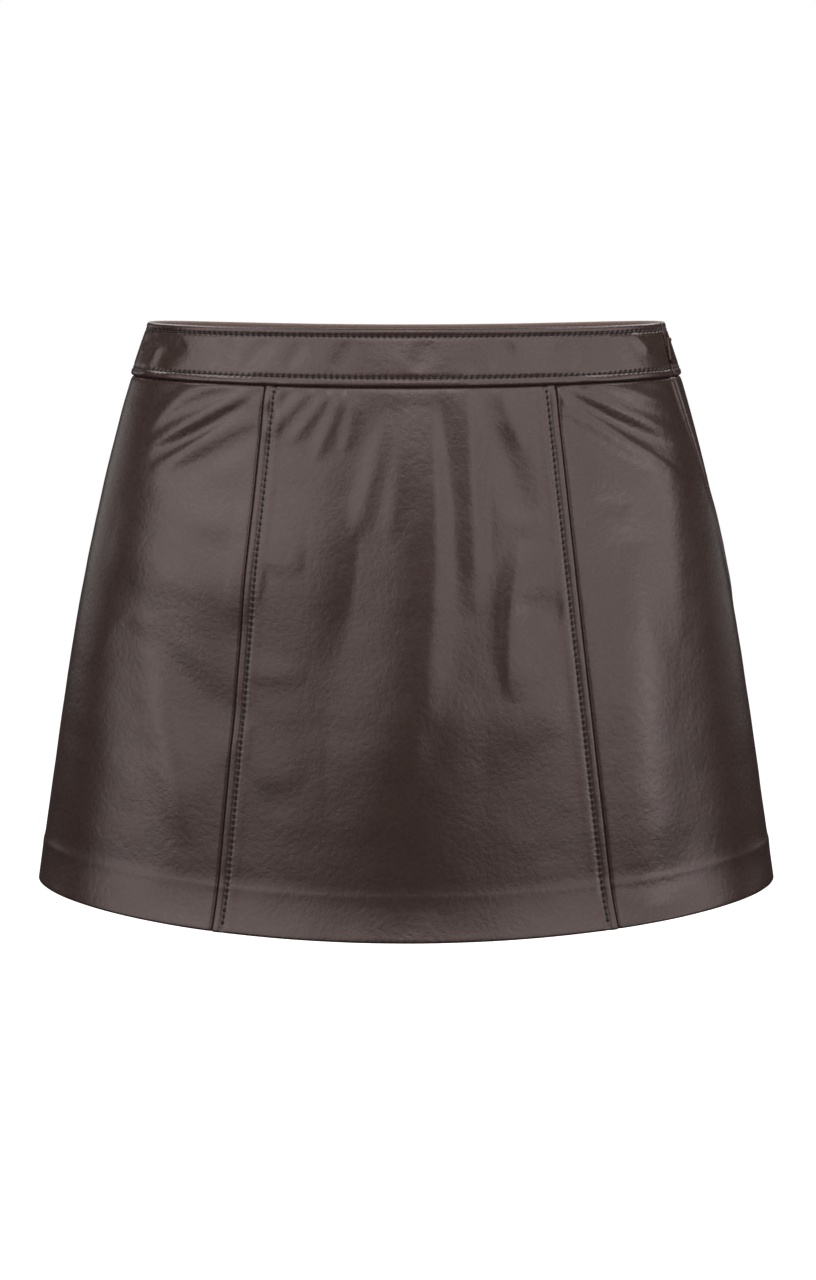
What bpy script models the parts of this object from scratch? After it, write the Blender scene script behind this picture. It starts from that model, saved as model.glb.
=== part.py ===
"""A leather mini skirt, filled out as if worn: three front panels, a darted back, a waistband and a side zip.

The skirt is a tube of leather. Its form is a stack of oval sections. Every piece is a wall on that form,
between two seams, so pieces that are sewn together share one edge with a fine gap. +Z is up, the front
faces -Y, +X is the wearer's left, and the origin is the centre of the waistband, where the wearer's waist
holds the skirt.
Run it with: blender --background --python part.py
"""

import math
from collections import namedtuple

import bmesh
import bpy
import numpy as np
from mathutils import Matrix, Vector

# ---------------------------------------------------------------- driving sizes, in metres
BAND_HEIGHT = 0.0314  # waistband, seam to top edge, upright at the sides: 33 mm along the slant
SIDE_DROP = 0.3225  # origin down to the hem at the sides
HEM_TURN = 0.0265  # depth of the turned-up hem
SEAM_GAP = 0.0003  # between two pieces sewn together
SKIN = 0.0014  # a panel: leather with its backing
HEM_INSIDE = 0.0028  # a panel where the hem is turned up, two layers
HEM_RELIEF = 0.0004  # the hem's outer face stands this far proud
HEM_STEP = 0.0012  # half the height of the soft step at the hem's upper edge
BAND_PROUD = 0.0010  # the waistband laps over the panels by this much
BAND_INSIDE = 0.0016  # and reaches this far inside the form
EDGE_ROLL = 0.0007  # how far folded edges round in
EDGE_ROLL_HEIGHT = 0.0012  # and over what height
WELT_WIDTH = 0.0056  # the front seams' stitched-down strip, on the centre panel
WELT_PROUD = 0.0007
WELT_EDGE = 0.0010  # how far in the strip's rounded edge reaches
WELT_STEP = 0.0012  # and the width of the step down at its stitching
ZIP_LENGTH = 0.1650  # from the waistband's top edge
TAPE_WIDTH = 0.0110  # one half of the zip's tape
TAPE_OUTSIDE = -0.0020  # the tape lies behind the leather
TAPE_INSIDE = 0.0027
COIL_WIDTH = 0.0020
COIL_INSIDE = 0.0038
COIL_STEP = 0.0006  # the slope from the coil down to its tape
TAPE_SHORT = 0.0006  # the tape ends this far below the waistband's top edge
SLIDER_DROP = 0.0110  # pull's axis below the waistband's top edge
LIP_ROOM = 0.0008  # each end of the waistband stands this far back from the zip's middle, for the slider
LIP_FADE = 0.0120  # height over which the tapes close up below the waistband

# One row for each section of the form: level, half width, and how deep the front and the back stand out.
Section = namedtuple("Section", "z half_width front_depth back_depth")
SECTIONS = (
    Section(0.0170, 0.1525, 0.0680, 0.0680),
    Section(-0.0170, 0.1642, 0.0730, 0.0745),
    Section(-0.0600, 0.1764, 0.0795, 0.0850),
    Section(-0.1100, 0.1884, 0.0865, 0.0930),
    Section(-0.1520, 0.1971, 0.0915, 0.0975),
    Section(-0.2000, 0.2055, 0.0965, 0.1005),
    Section(-0.2600, 0.2148, 0.1015, 0.1030),
    Section(-0.3240, 0.2243, 0.1060, 0.1050),
    Section(-0.3420, 0.2269, 0.1070, 0.1055),
)

# How far each edge dips at the centre, below its level at the sides.
Edge = namedtuple("Edge", "side_z front_dip back_dip")
TOP_EDGE = Edge(BAND_HEIGHT / 2, 0.0010, 0.0050)
BAND_SEAM = Edge(-BAND_HEIGHT / 2, 0.0030, 0.0063)
HEM_EDGE = Edge(-SIDE_DROP, 0.0160, 0.0140)

# The front seams, from the waistband to the hem: distance from the middle, and how far the line bows out.
FrontSeam = namedtuple("FrontSeam", "x_waist x_hem bow")
RIGHT_FRONT_SEAM = FrontSeam(-0.0813, -0.1111, -0.0002)
LEFT_FRONT_SEAM = FrontSeam(0.0861, 0.1216, -0.0004)

# The side seams: how far each lies in front of the widest line, by level. The skirt sits turned a little on
# the wearer, so the seam with the zip shows from the front and the other one doesn't.
SideSeam = namedtuple("SideSeam", "z right_forward left_forward")
SIDE_SEAMS = (
    SideSeam(0.0170, -0.0060, 0.0120),
    SideSeam(-0.0170, -0.0060, 0.0190),
    SideSeam(-0.0600, -0.0060, 0.0160),
    SideSeam(-0.0850, -0.0055, 0.0125),
    SideSeam(-0.1100, -0.0050, 0.0055),
    SideSeam(-0.1500, -0.0040, -0.0010),
    SideSeam(-0.2000, -0.0030, -0.0030),
    SideSeam(-0.3420, -0.0020, -0.0040),
)

# The largest folds. A fold runs from (x0, z0) to (x1, z1), bows to its left by bow, has a soft half width,
# and stands out by rise, or sinks in where rise is below zero. Side is -1 on the front and +1 on the back.
Fold = namedtuple("Fold", "side x0 z0 x1 z1 bow width rise")
FOLDS = (
    # drag lines from the top of the wearer's right front seam
    Fold(-1, -0.100, -0.0205, -0.152, -0.047, -0.009, 0.0055, 0.0021),
    Fold(-1, -0.094, -0.0240, -0.146, -0.037, -0.004, 0.0050, -0.0017),
    Fold(-1, -0.093, -0.0265, -0.146, -0.049, -0.004, 0.0050, 0.0018),
    Fold(-1, -0.090, -0.0280, -0.144, -0.056, -0.005, 0.0050, -0.0023),
    Fold(-1, -0.089, -0.0280, -0.144, -0.064, -0.008, 0.0042, 0.0026),
    Fold(-1, -0.100, -0.0480, -0.138, -0.066, -0.005, 0.0080, -0.0020),
    # drag lines from the top of the wearer's left front seam
    Fold(-1, 0.098, -0.0210, 0.130, -0.034, 0.002, 0.0050, -0.0018),
    Fold(-1, 0.098, -0.0235, 0.150, -0.049, 0.005, 0.0052, 0.0019),
    Fold(-1, 0.100, -0.0300, 0.146, -0.053, 0.004, 0.0052, -0.0020),
    Fold(-1, 0.097, -0.0310, 0.153, -0.062, 0.006, 0.0058, 0.0022),
    # soft folds down the centre panel
    Fold(-1, -0.062, -0.0215, -0.079, -0.043, 0.003, 0.0045, -0.0016),
    Fold(-1, -0.051, -0.0215, -0.077, -0.048, 0.003, 0.0045, 0.0014),
    Fold(-1, 0.029, -0.0220, 0.034, -0.134, 0.002, 0.0090, -0.0034),
    Fold(-1, 0.034, -0.0400, 0.034, -0.290, 0.000, 0.0140, 0.0024),
    Fold(-1, 0.013, -0.0700, -0.005, -0.274, 0.003, 0.0115, -0.0036),
    Fold(-1, 0.058, -0.1060, 0.051, -0.198, -0.002, 0.0070, -0.0018),
    # level swells across the front
    Fold(-1, -0.104, -0.1180, -0.030, -0.126, 0.000, 0.0440, 0.0026),
    Fold(-1, 0.016, -0.1960, 0.074, -0.192, 0.000, 0.0270, 0.0020),
    Fold(-1, -0.046, -0.2380, 0.046, -0.238, 0.000, 0.0420, 0.0012),
    # broad swells and a slanting hollow on the wearer's right side panel
    Fold(-1, -0.156, -0.1120, -0.086, -0.134, 0.000, 0.0260, 0.0022),
    Fold(-1, -0.152, -0.1580, -0.094, -0.206, -0.004, 0.0280, -0.0020),
    Fold(-1, -0.157, -0.1500, -0.128, -0.288, 0.000, 0.0130, 0.0014),
    # a long swell on the wearer's left side panel
    Fold(-1, 0.134, -0.1100, 0.146, -0.322, 0.000, 0.0210, 0.0028),
    # the back hangs in similar, softer folds
    Fold(1, -0.070, -0.1100, -0.094, -0.290, 0.004, 0.0130, -0.0034),
    Fold(1, -0.030, -0.1300, -0.034, -0.300, -0.003, 0.0120, 0.0026),
    Fold(1, 0.022, -0.1150, 0.030, -0.280, 0.004, 0.0130, -0.0036),
    Fold(1, 0.082, -0.1250, 0.100, -0.300, -0.004, 0.0130, 0.0030),
    Fold(1, 0.112, -0.0300, 0.146, -0.060, 0.005, 0.0060, 0.0020),
    Fold(1, -0.110, -0.0300, -0.148, -0.062, -0.005, 0.0060, 0.0022),
)

Finish = namedtuple("Finish", "name colour roughness metallic")
LEATHER = Finish("brown_nappa_leather", (0.036, 0.021, 0.018), 0.42, 0.0)
TAPE = Finish("brown_woven_tape", (0.030, 0.018, 0.015), 0.80, 0.0)
METAL = Finish("brown_lacquered_zinc", (0.060, 0.040, 0.034), 0.35, 0.6)


# ---------------------------------------------------------------- the form
def curve_through(levels, values, at):
    """A smooth curve through the rows of a table, read at the given levels. Levels run downwards."""
    z = -np.array(levels)
    v = np.array(values)
    slopes = np.gradient(v, z)
    at = np.clip(-np.asarray(at, float), z[0], z[-1])
    i = np.clip(np.searchsorted(z, at) - 1, 0, len(z) - 2)
    span = z[i + 1] - z[i]
    s = (at - z[i]) / span
    near = v[i] * (1 + 2 * s) * (1 - s) ** 2 + v[i + 1] * s * s * (3 - 2 * s)
    lean = slopes[i] * s * (1 - s) ** 2 - slopes[i + 1] * s * s * (1 - s)
    return near + lean * span


def column(rows, name, at):
    return curve_through([r.z for r in rows], [getattr(r, name) for r in rows], at)


def edge_level(edge, theta):
    """Level of an edge that runs round the skirt, at the turn theta from the middle of the front."""
    lean = np.cos(theta)
    return edge.side_z - np.where(lean > 0, edge.front_dip, edge.back_dip) * lean**2


def oval(theta, z):
    """A point of the plain form, with no folds. theta 0 is the middle of the front and 90 degrees is +X."""
    half_width = column(SECTIONS, "half_width", z)
    front = column(SECTIONS, "front_depth", z)
    back = column(SECTIONS, "back_depth", z)
    depth = np.where(np.cos(theta) > 0, front, back)
    return np.stack([half_width * np.sin(theta), -depth * np.cos(theta), z + 0 * theta], -1)


def outward(theta, z):
    """The plain form's outward normal."""
    step = 1e-4
    round_it = oval(theta + step, z) - oval(theta - step, z)
    down_it = oval(theta, z - step) - oval(theta, z + step)
    normal = np.cross(down_it, round_it)
    return normal / np.linalg.norm(normal, axis=-1, keepdims=True)


def fold_height(point):
    """How far the folds move the leather out at a point of the form."""
    x, y, z = point[..., 0], point[..., 1], point[..., 2]
    height = np.zeros_like(x)
    for fold in FOLDS:
        run = np.array([fold.x1 - fold.x0, fold.z1 - fold.z0])
        length = np.hypot(*run)
        along = ((x - fold.x0) * run[0] + (z - fold.z0) * run[1]) / length**2
        across = ((z - fold.z0) * run[0] - (x - fold.x0) * run[1]) / length
        inside = np.clip(along, 0, 1)
        taper = np.sin(math.pi * inside) ** 0.8 * (y * fold.side > 0)
        across = across - fold.bow * np.sin(math.pi * inside)
        height += fold.rise * taper * np.exp(-((across / fold.width) ** 2))
    return height


def form(theta, z, out):
    """A point of the skirt, out metres outside the leather's outer face."""
    point = oval(theta, z)
    return point + outward(theta, z) * (fold_height(point) + out)[..., None]


# ---------------------------------------------------------------- seams
def front_seam_turn(seam):
    def turn(z):
        share = np.clip((BAND_SEAM.side_z - z) / (BAND_SEAM.side_z + SIDE_DROP), 0, 1)
        x = seam.x_waist + (seam.x_hem - seam.x_waist) * share + seam.bow * np.sin(math.pi * share)
        return np.arcsin(x / column(SECTIONS, "half_width", z))

    return turn


def side_seam_turn(name, side):
    def turn(z):
        forward = column(SIDE_SEAMS, name, z)
        depth = column(SECTIONS, "front_depth", z)
        return side * (math.pi / 2 - np.arcsin(forward / depth))

    return turn


right_front = front_seam_turn(RIGHT_FRONT_SEAM)
left_front = front_seam_turn(LEFT_FRONT_SEAM)
right_side = side_seam_turn("right_forward", -1)
left_side = side_seam_turn("left_forward", 1)


def once_round(turn):
    return lambda z: turn(z) + 2 * math.pi


def tape_room(z):
    """How far the zip's tapes stand back from the seam line: more behind the waistband, for the slider."""
    return np.interp(z, [BAND_SEAM.side_z - LIP_FADE, BAND_SEAM.side_z], [SEAM_GAP / 2, LIP_ROOM])


# ---------------------------------------------------------------- walls on the form
def two_triangles(mesh, a, b, c, d):
    """The four corners filled across the shorter diagonal."""
    if (a.co - c.co).length < (b.co - d.co).length:
        mesh.faces.new((a, b, c))
        mesh.faces.new((a, c, d))
    else:
        mesh.faces.new((a, b, d))
        mesh.faces.new((b, c, d))


def grid_wall(name, outer, inner, finish):
    """A closed wall between two grids of points of the same shape."""
    rows, columns = outer.shape[:2]
    mesh = bmesh.new()
    out = [[mesh.verts.new(outer[i, j]) for j in range(columns)] for i in range(rows)]
    back = [[mesh.verts.new(inner[i, j]) for j in range(columns)] for i in range(rows)]
    for i in range(rows - 1):
        for j in range(columns - 1):
            two_triangles(mesh, out[i][j], out[i + 1][j], out[i + 1][j + 1], out[i][j + 1])
            two_triangles(mesh, back[i][j], back[i + 1][j], back[i + 1][j + 1], back[i][j + 1])
    for j in range(columns - 1):
        mesh.faces.new((out[0][j], out[0][j + 1], back[0][j + 1], back[0][j]))
        mesh.faces.new((out[-1][j], back[-1][j], back[-1][j + 1], out[-1][j + 1]))
    for i in range(rows - 1):
        mesh.faces.new((out[i][0], back[i][0], back[i + 1][0], out[i + 1][0]))
        mesh.faces.new((out[i][-1], out[i + 1][-1], back[i + 1][-1], back[i][-1]))
    return finished(name, mesh, finish)


def finished(name, mesh, finish):
    """The named object of a bmesh, with its material and smooth shading."""
    bmesh.ops.recalc_face_normals(mesh, faces=mesh.faces)
    data = bpy.data.meshes.new(name)
    mesh.to_mesh(data)
    mesh.free()
    data.shade_smooth()
    data.set_sharp_from_angle(angle=math.radians(40))
    data.materials.append(material_of(finish))
    made = bpy.data.objects.new(name, data)
    bpy.context.scene.collection.objects.link(made)
    return made


def material_of(finish):
    found = bpy.data.materials.get(finish.name)
    if found:
        return found
    made = bpy.data.materials.new(finish.name)
    made.use_nodes = True
    shader = made.node_tree.nodes["Principled BSDF"]
    shader.inputs["Base Color"].default_value = (*finish.colour, 1)
    shader.inputs["Roughness"].default_value = finish.roughness
    shader.inputs["Metallic"].default_value = finish.metallic
    return made


def turns_across(start, end, z, near_start, near_end, count):
    """Turns of one row of points: at the given distances from each end seam, and count even turns between."""
    turns = np.linspace(start, end, 181)
    points = oval(turns, z + 0 * turns)[:, :2]
    walked = np.concatenate([[0], np.cumsum(np.hypot(*np.diff(points, axis=0).T))])
    first = np.interp(near_start, walked, turns)
    last = np.interp(walked[-1] - np.array(near_end)[::-1], walked, turns)
    return np.concatenate([first[:-1], np.linspace(first[-1], last[0], count + 1), last[1:]])


def panel_points(start, end, top, bottom, shares, near_start, near_end, count):
    """Turns and levels of a panel's grid, between two seams and two edges."""
    nominal = top.side_z + (bottom.side_z - top.side_z) * shares
    turns = np.array([turns_across(start(z), end(z), z, near_start, near_end, count) for z in nominal])
    upper, lower = edge_level(top, turns), edge_level(bottom, turns)
    return turns, upper + (lower - upper) * shares[:, None]


# ---------------------------------------------------------------- the pieces
UPPER_PANEL = Edge(BAND_SEAM.side_z - SEAM_GAP, BAND_SEAM.front_dip, BAND_SEAM.back_dip)
PANEL_LENGTH = UPPER_PANEL.side_z - HEM_EDGE.side_z


def panel_shares(fine_step, fine_count, plain_count):
    """Shares of a panel's length: close rows for the drag lines at the top, then plain ones, then the hem's.
    Every panel has the same rows, so that their edges match along the seams."""
    fine = np.arange(fine_count + 1) * fine_step
    above_hem = [HEM_TURN + HEM_STEP, HEM_TURN - HEM_STEP, HEM_TURN / 2, EDGE_ROLL_HEIGHT, 0.0]
    hem = PANEL_LENGTH - np.array(above_hem)
    plain = np.linspace(fine[-1], hem[0], plain_count + 1)[1:-1]
    return np.concatenate([fine, plain, hem]) / PANEL_LENGTH


def panel(name, start, end, shares, count, welts):
    """A body panel between two seams. welts says which of its two edges carries a stitched-down strip."""
    strip = [0.0, WELT_EDGE, WELT_WIDTH, WELT_WIDTH + WELT_STEP]
    near = [SEAM_GAP / 2 + np.array(strip if welt else [0.0]) for welt in welts]
    turns, levels = panel_points(start, end, UPPER_PANEL, HEM_EDGE, shares, near[0], near[1], count)
    from_hem = (1 - shares) * PANEL_LENGTH
    turned = (from_hem < HEM_TURN)[:, None]
    out = np.where(turned, HEM_RELIEF, 0.0) + 0 * turns
    if welts[0]:
        out[:, 1:3] += WELT_PROUD
        out[:, 0] += WELT_PROUD / 2
    if welts[1]:
        out[:, -3:-1] += WELT_PROUD
        out[:, -1] += WELT_PROUD / 2
    inside = np.where(turned, HEM_INSIDE, SKIN) + 0 * turns
    out[-1] -= EDGE_ROLL
    inside[-1] -= EDGE_ROLL
    return grid_wall(name, form(turns, levels, out), form(turns, levels, -inside), LEATHER)


BAND_ROWS = 4
TAPE_ROWS = 28


def waistband(name, start, end, count, rooms):
    """One half of the waistband: two layers, rolled over at the top and bottom, with room at each end."""
    roll = EDGE_ROLL_HEIGHT / BAND_HEIGHT
    shares = np.concatenate([[0.0], np.linspace(roll, 1 - roll, BAND_ROWS + 1), [1.0]])
    out = np.full(len(shares), BAND_PROUD)
    out[[0, -1]] -= EDGE_ROLL
    inside = np.full(len(shares), BAND_INSIDE)
    inside[[0, -1]] -= EDGE_ROLL
    turns, levels = panel_points(start, end, TOP_EDGE, BAND_SEAM, shares, rooms[:1], rooms[1:], count)
    return grid_wall(
        name,
        form(turns, levels, out[:, None] + 0 * turns),
        form(turns, levels, -inside[:, None] + 0 * turns),
        LEATHER,
    )


def zip_tape(name, towards):
    """One half of the zip: a tape behind the leather, with half the coil along its edge. towards is the
    side of the seam line that it lies on: -1 in front and +1 behind."""
    inside = np.array([COIL_INSIDE, COIL_INSIDE, TAPE_INSIDE, TAPE_INSIDE, TAPE_INSIDE])

    def seat(z):
        step = 1e-3
        middle = left_side(z)
        speed = np.linalg.norm(oval(middle + step, z) - oval(middle - step, z)) / (2 * step)
        walk = np.array([tape_room(z), COIL_WIDTH, COIL_WIDTH + COIL_STEP, TAPE_WIDTH / 2, TAPE_WIDTH])
        return middle + towards * walk / speed

    heights = np.linspace(TOP_EDGE.side_z - TAPE_SHORT, TOP_EDGE.side_z - ZIP_LENGTH, TAPE_ROWS + 1)
    turns = np.array([seat(z) for z in heights])
    levels = heights[:, None] + 0 * turns
    outer = form(turns, levels, TAPE_OUTSIDE + 0 * turns)
    inner = form(turns, levels, -inside + 0 * turns)
    if towards < 0:
        outer, inner = outer[:, ::-1], inner[:, ::-1]
    return grid_wall(name, outer, inner, TAPE)


# ---------------------------------------------------------------- the zip's slider and pull
SLIDER_LENGTH = 0.0080
PLATE_WIDTH = 0.0042
PLATE_FOOT = BAND_PROUD + 0.0003  # the outer plate clears the waistband
PLATE_THICKNESS = 0.0006
WEB_THICKNESS = 0.0008
INNER_BODY_WIDTH = 0.0062
INNER_BODY_TOP = -(COIL_INSIDE + 0.0003)
INNER_BODY_THICKNESS = 0.0018
CROWN_RADIUS = 0.0015
CROWN_WIDTH = 0.0010
CROWN_BORE = 0.0008
AXIS_HEIGHT = 0.0030  # the pull's axis above the leather
BAR_RADIUS = 0.0005
PULL_WIDTH = 0.0034
PULL_END_RADIUS = 0.0022
PULL_LENGTH = 0.0140
PULL_THICKNESS = 0.0009
PULL_REST_GAP = 0.0003  # between the pull's tip and the waistband that it lies on
WINDOW_WIDTH = 0.0016
WINDOW_LENGTH = 0.0019


def slider_place():
    """The matrix of the slider's place: X backward across the zip, Y up along it, Z out of the leather."""
    z = TOP_EDGE.side_z - SLIDER_DROP
    above, below = z + SLIDER_LENGTH / 2, z - SLIDER_LENGTH / 2
    up = Vector(oval(left_side(above), above) - oval(left_side(below), below)).normalized()
    backward = up.cross(Vector(outward(left_side(z), z))).normalized()
    frame = Matrix((backward, up, backward.cross(up))).transposed().to_4x4()
    return Matrix.Translation(oval(left_side(z), z)) @ frame


def block(mesh, size, centre):
    bmesh.ops.create_cube(
        mesh, size=1.0, matrix=Matrix.Translation(centre) @ Matrix.Diagonal((*size, 1.0))
    )


def rod(mesh, radius, length, centre, segments=20):
    """A cylinder along X."""
    turned = Matrix.Rotation(math.pi / 2, 4, "Y")
    bmesh.ops.create_cone(
        mesh,
        cap_ends=True,
        segments=segments,
        radius1=radius,
        radius2=radius,
        depth=length,
        matrix=Matrix.Translation(centre) @ turned,
    )


def shaped(name, draw, finish):
    mesh = bmesh.new()
    draw(mesh)
    return finished(name, mesh, finish)


def helper(name, draw):
    """A cutter or a tool body, which isn't part of the skirt."""
    made = shaped(name, draw, METAL)
    made.hide_render = True
    made.display_type = "WIRE"
    return made


def boolean(target, tool, operation):
    tool.parent = target
    modifier = target.modifiers.new(f"{operation.lower()}_{tool.name}", "BOOLEAN")
    modifier.operation = operation
    modifier.object = tool


def zip_slider(place):
    """The slider: a body behind the coil, a web between the lips, a plate in front and the pull's crown."""
    web_bottom = INNER_BODY_TOP - INNER_BODY_THICKNESS / 2
    web_top = PLATE_FOOT + PLATE_THICKNESS / 2
    inner_size = (INNER_BODY_WIDTH, SLIDER_LENGTH, INNER_BODY_THICKNESS)
    inner_centre = (0, 0, INNER_BODY_TOP - INNER_BODY_THICKNESS / 2)
    plate_size = (PLATE_WIDTH, SLIDER_LENGTH, PLATE_THICKNESS)
    plate_centre = (0, 0, PLATE_FOOT + PLATE_THICKNESS / 2)
    web_size = (WEB_THICKNESS, SLIDER_LENGTH * 0.7, web_top - web_bottom)
    axis = (0, 0, AXIS_HEIGHT)
    slider = shaped("zip_slider", lambda m: block(m, inner_size, inner_centre), METAL)
    tools = (
        ("slider_web", lambda m: block(m, web_size, (0, 0, (web_top + web_bottom) / 2)), "UNION"),
        ("slider_plate", lambda m: block(m, plate_size, plate_centre), "UNION"),
        ("slider_crown", lambda m: rod(m, CROWN_RADIUS, CROWN_WIDTH, axis), "UNION"),
        ("slider_bore", lambda m: rod(m, CROWN_BORE, 4 * CROWN_WIDTH, axis), "DIFFERENCE"),
    )
    for name, draw, operation in tools:
        boolean(slider, helper(name, draw), operation)
    slider.matrix_world = place
    return slider


def pull_outline():
    """The pull's outline, from the bar down to its rounded end, as (x, y) pairs."""
    half = PULL_WIDTH / 2
    end_y = -(PULL_LENGTH - PULL_END_RADIUS)
    lean = math.asin(min(1.0, (PULL_END_RADIUS - half) / -end_y))
    arc = np.linspace(-lean, math.pi + lean, 13)
    rounded = [(-PULL_END_RADIUS * math.cos(a), end_y - PULL_END_RADIUS * math.sin(a)) for a in arc]
    return [(half, 0.0), (-half, 0.0), *rounded]


def zip_pull(place):
    """The pull tab, whose bar turns in the slider's crown. It hangs with its tip against the waistband."""
    tip_sinks = AXIS_HEIGHT - PULL_THICKNESS / 2 - BAND_PROUD - PULL_REST_GAP
    lean = Matrix.Rotation(math.asin(tip_sinks / PULL_LENGTH), 4, "X")

    def tab(mesh):
        low = [mesh.verts.new((x, y, -PULL_THICKNESS / 2)) for x, y in pull_outline()]
        face = mesh.faces.new(low)
        grown = bmesh.ops.extrude_face_region(mesh, geom=[face])
        raised = [v for v in grown["geom"] if isinstance(v, bmesh.types.BMVert)]
        bmesh.ops.translate(mesh, verts=raised, vec=(0, 0, PULL_THICKNESS))

    window = (WINDOW_WIDTH, 2 * WINDOW_LENGTH, 4 * PULL_THICKNESS)
    pull = shaped("zip_pull", tab, METAL)
    boolean(pull, helper("pull_window", lambda m: block(m, window, (0, 0, 0))), "DIFFERENCE")
    boolean(pull, helper("pull_bar", lambda m: rod(m, BAR_RADIUS, PULL_WIDTH, (0, 0, 0))), "UNION")
    pull.matrix_world = place @ Matrix.Translation((0, 0, AXIS_HEIGHT)) @ lean
    return pull


# ---------------------------------------------------------------- the skirt
def main():
    for old in list(bpy.data.objects):
        bpy.data.objects.remove(old)
    rows = panel_shares(0.0080, 8, 11)
    behind = once_round(right_side)
    panel("front_centre_panel", right_front, left_front, rows, 22, (True, True))
    panel("front_side_panel_right", right_side, right_front, rows, 15, (False, False))
    panel("front_side_panel_left", left_front, left_side, rows, 13, (False, False))
    panel("back_panel", left_side, behind, rows, 32, (False, False))
    waistband("waistband_front", right_side, left_side, 38, (SEAM_GAP / 2, LIP_ROOM))
    waistband("waistband_back", left_side, behind, 38, (LIP_ROOM, SEAM_GAP / 2))
    zip_tape("zip_tape_front", -1)
    zip_tape("zip_tape_back", 1)
    place = slider_place()
    zip_slider(place)
    zip_pull(place)


if __name__ == "__main__":
    main()
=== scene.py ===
"""A leather mini skirt, filled out as if worn: brown nappa leather, three front panels, a darted back, a
two-piece waistband and a side zip. +Z is up, the front faces -Y and +X is the wearer's left."""

import math
from collections import namedtuple

import bpy
import numpy as np
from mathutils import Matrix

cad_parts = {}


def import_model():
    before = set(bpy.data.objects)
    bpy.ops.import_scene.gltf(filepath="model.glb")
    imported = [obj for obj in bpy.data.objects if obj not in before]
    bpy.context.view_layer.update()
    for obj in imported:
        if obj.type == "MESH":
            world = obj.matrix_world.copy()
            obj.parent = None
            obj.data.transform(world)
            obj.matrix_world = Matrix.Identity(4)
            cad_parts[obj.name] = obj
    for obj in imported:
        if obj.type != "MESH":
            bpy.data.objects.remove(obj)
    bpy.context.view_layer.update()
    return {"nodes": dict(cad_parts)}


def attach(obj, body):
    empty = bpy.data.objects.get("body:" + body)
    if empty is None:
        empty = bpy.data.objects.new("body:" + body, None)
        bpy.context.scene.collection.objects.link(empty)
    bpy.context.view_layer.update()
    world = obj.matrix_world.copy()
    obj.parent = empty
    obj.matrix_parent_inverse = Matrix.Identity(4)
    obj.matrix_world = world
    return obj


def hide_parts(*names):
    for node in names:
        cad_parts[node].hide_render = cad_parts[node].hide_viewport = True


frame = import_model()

MM = 0.001

# ---------------------------------------------------------------- the skirt's own sizes, in metres
BAND_HEIGHT = 0.0314  # waistband, seam to top edge
SIDE_DROP = 0.3225  # origin down to the hem at the sides
HEM_TURN = 0.0265  # depth of the turned-up hem
SEAM_GAP = 0.0003  # between the outer faces of two pieces that are sewn together
SKIN = 0.0014  # leather with its backing
HEM_INSIDE = 0.0028  # where the hem is turned up: its inner face, inside the form
HEM_RELIEF = 0.0004  # and its outer face, outside the form
BAND_PROUD = 0.0010  # the waistband's outer face, outside the form
BAND_INSIDE = 0.0016  # and its inner face, inside the form
LIP_ROOM = 0.0008  # each end of the waistband stands this far back from the zip
ZIP_LENGTH = 0.1650  # from the waistband's top edge down
WELT_WIDTH = 0.0056  # the front seams' stitched-down strip
WELT_PROUD = 0.0007  # and its outer face, outside the form
ALLOWANCE_WIDTH = 0.0100  # the seam allowances, pressed back on the inside
ALLOWANCE_THICKNESS = 0.0009
STITCH_PITCH = 0.0035  # from one needle hole to the next
BAND_TOP_STITCH = 0.0043  # below the waistband's top edge
BAND_LOW_STITCH = 0.0048  # above the waistband's seam

# One row for each section of the form: level, half width, and how deep the front and the back stand out.
Section = namedtuple("Section", "z half_width front_depth back_depth")
SECTIONS = (
    Section(0.0170, 0.1525, 0.0669, 0.0680),
    Section(-0.0170, 0.1642, 0.0730, 0.0745),
    Section(-0.0600, 0.1764, 0.0795, 0.0850),
    Section(-0.1100, 0.1884, 0.0865, 0.0930),
    Section(-0.1520, 0.1971, 0.0915, 0.0975),
    Section(-0.2000, 0.2055, 0.0965, 0.1005),
    Section(-0.2600, 0.2148, 0.1015, 0.1030),
    Section(-0.3240, 0.2243, 0.1060, 0.1050),
    Section(-0.3420, 0.2269, 0.1070, 0.1055),
)

# How far each edge dips at the centre, below its level at the sides.
Edge = namedtuple("Edge", "side_z front_dip back_dip")
TOP_EDGE = Edge(BAND_HEIGHT / 2, 0.0010, 0.0050)
BAND_SEAM = Edge(-BAND_HEIGHT / 2, 0.0030, 0.0063)
UPPER_PANEL = Edge(BAND_SEAM.side_z - SEAM_GAP, BAND_SEAM.front_dip, BAND_SEAM.back_dip)
HEM_EDGE = Edge(-SIDE_DROP, 0.0160, 0.0140)
PANEL_LENGTH = UPPER_PANEL.side_z - HEM_EDGE.side_z

# The front seams, from the waistband to the hem: distance from the middle, and how far the line bows.
FrontSeam = namedtuple("FrontSeam", "x_waist x_hem bow")
RIGHT_FRONT_SEAM = FrontSeam(-0.0813, -0.1111, -0.0002)
LEFT_FRONT_SEAM = FrontSeam(0.0861, 0.1216, -0.0004)

# The side seams: how far each lies in front of the widest line, by level.
SideSeam = namedtuple("SideSeam", "z right_forward left_forward")
SIDE_SEAMS = (
    SideSeam(0.0170, -0.0060, 0.0120),
    SideSeam(-0.0170, -0.0060, 0.0190),
    SideSeam(-0.0600, -0.0060, 0.0160),
    SideSeam(-0.0850, -0.0055, 0.0125),
    SideSeam(-0.1100, -0.0050, 0.0055),
    SideSeam(-0.1500, -0.0040, -0.0010),
    SideSeam(-0.2000, -0.0030, -0.0030),
    SideSeam(-0.3420, -0.0020, -0.0040),
)

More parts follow.
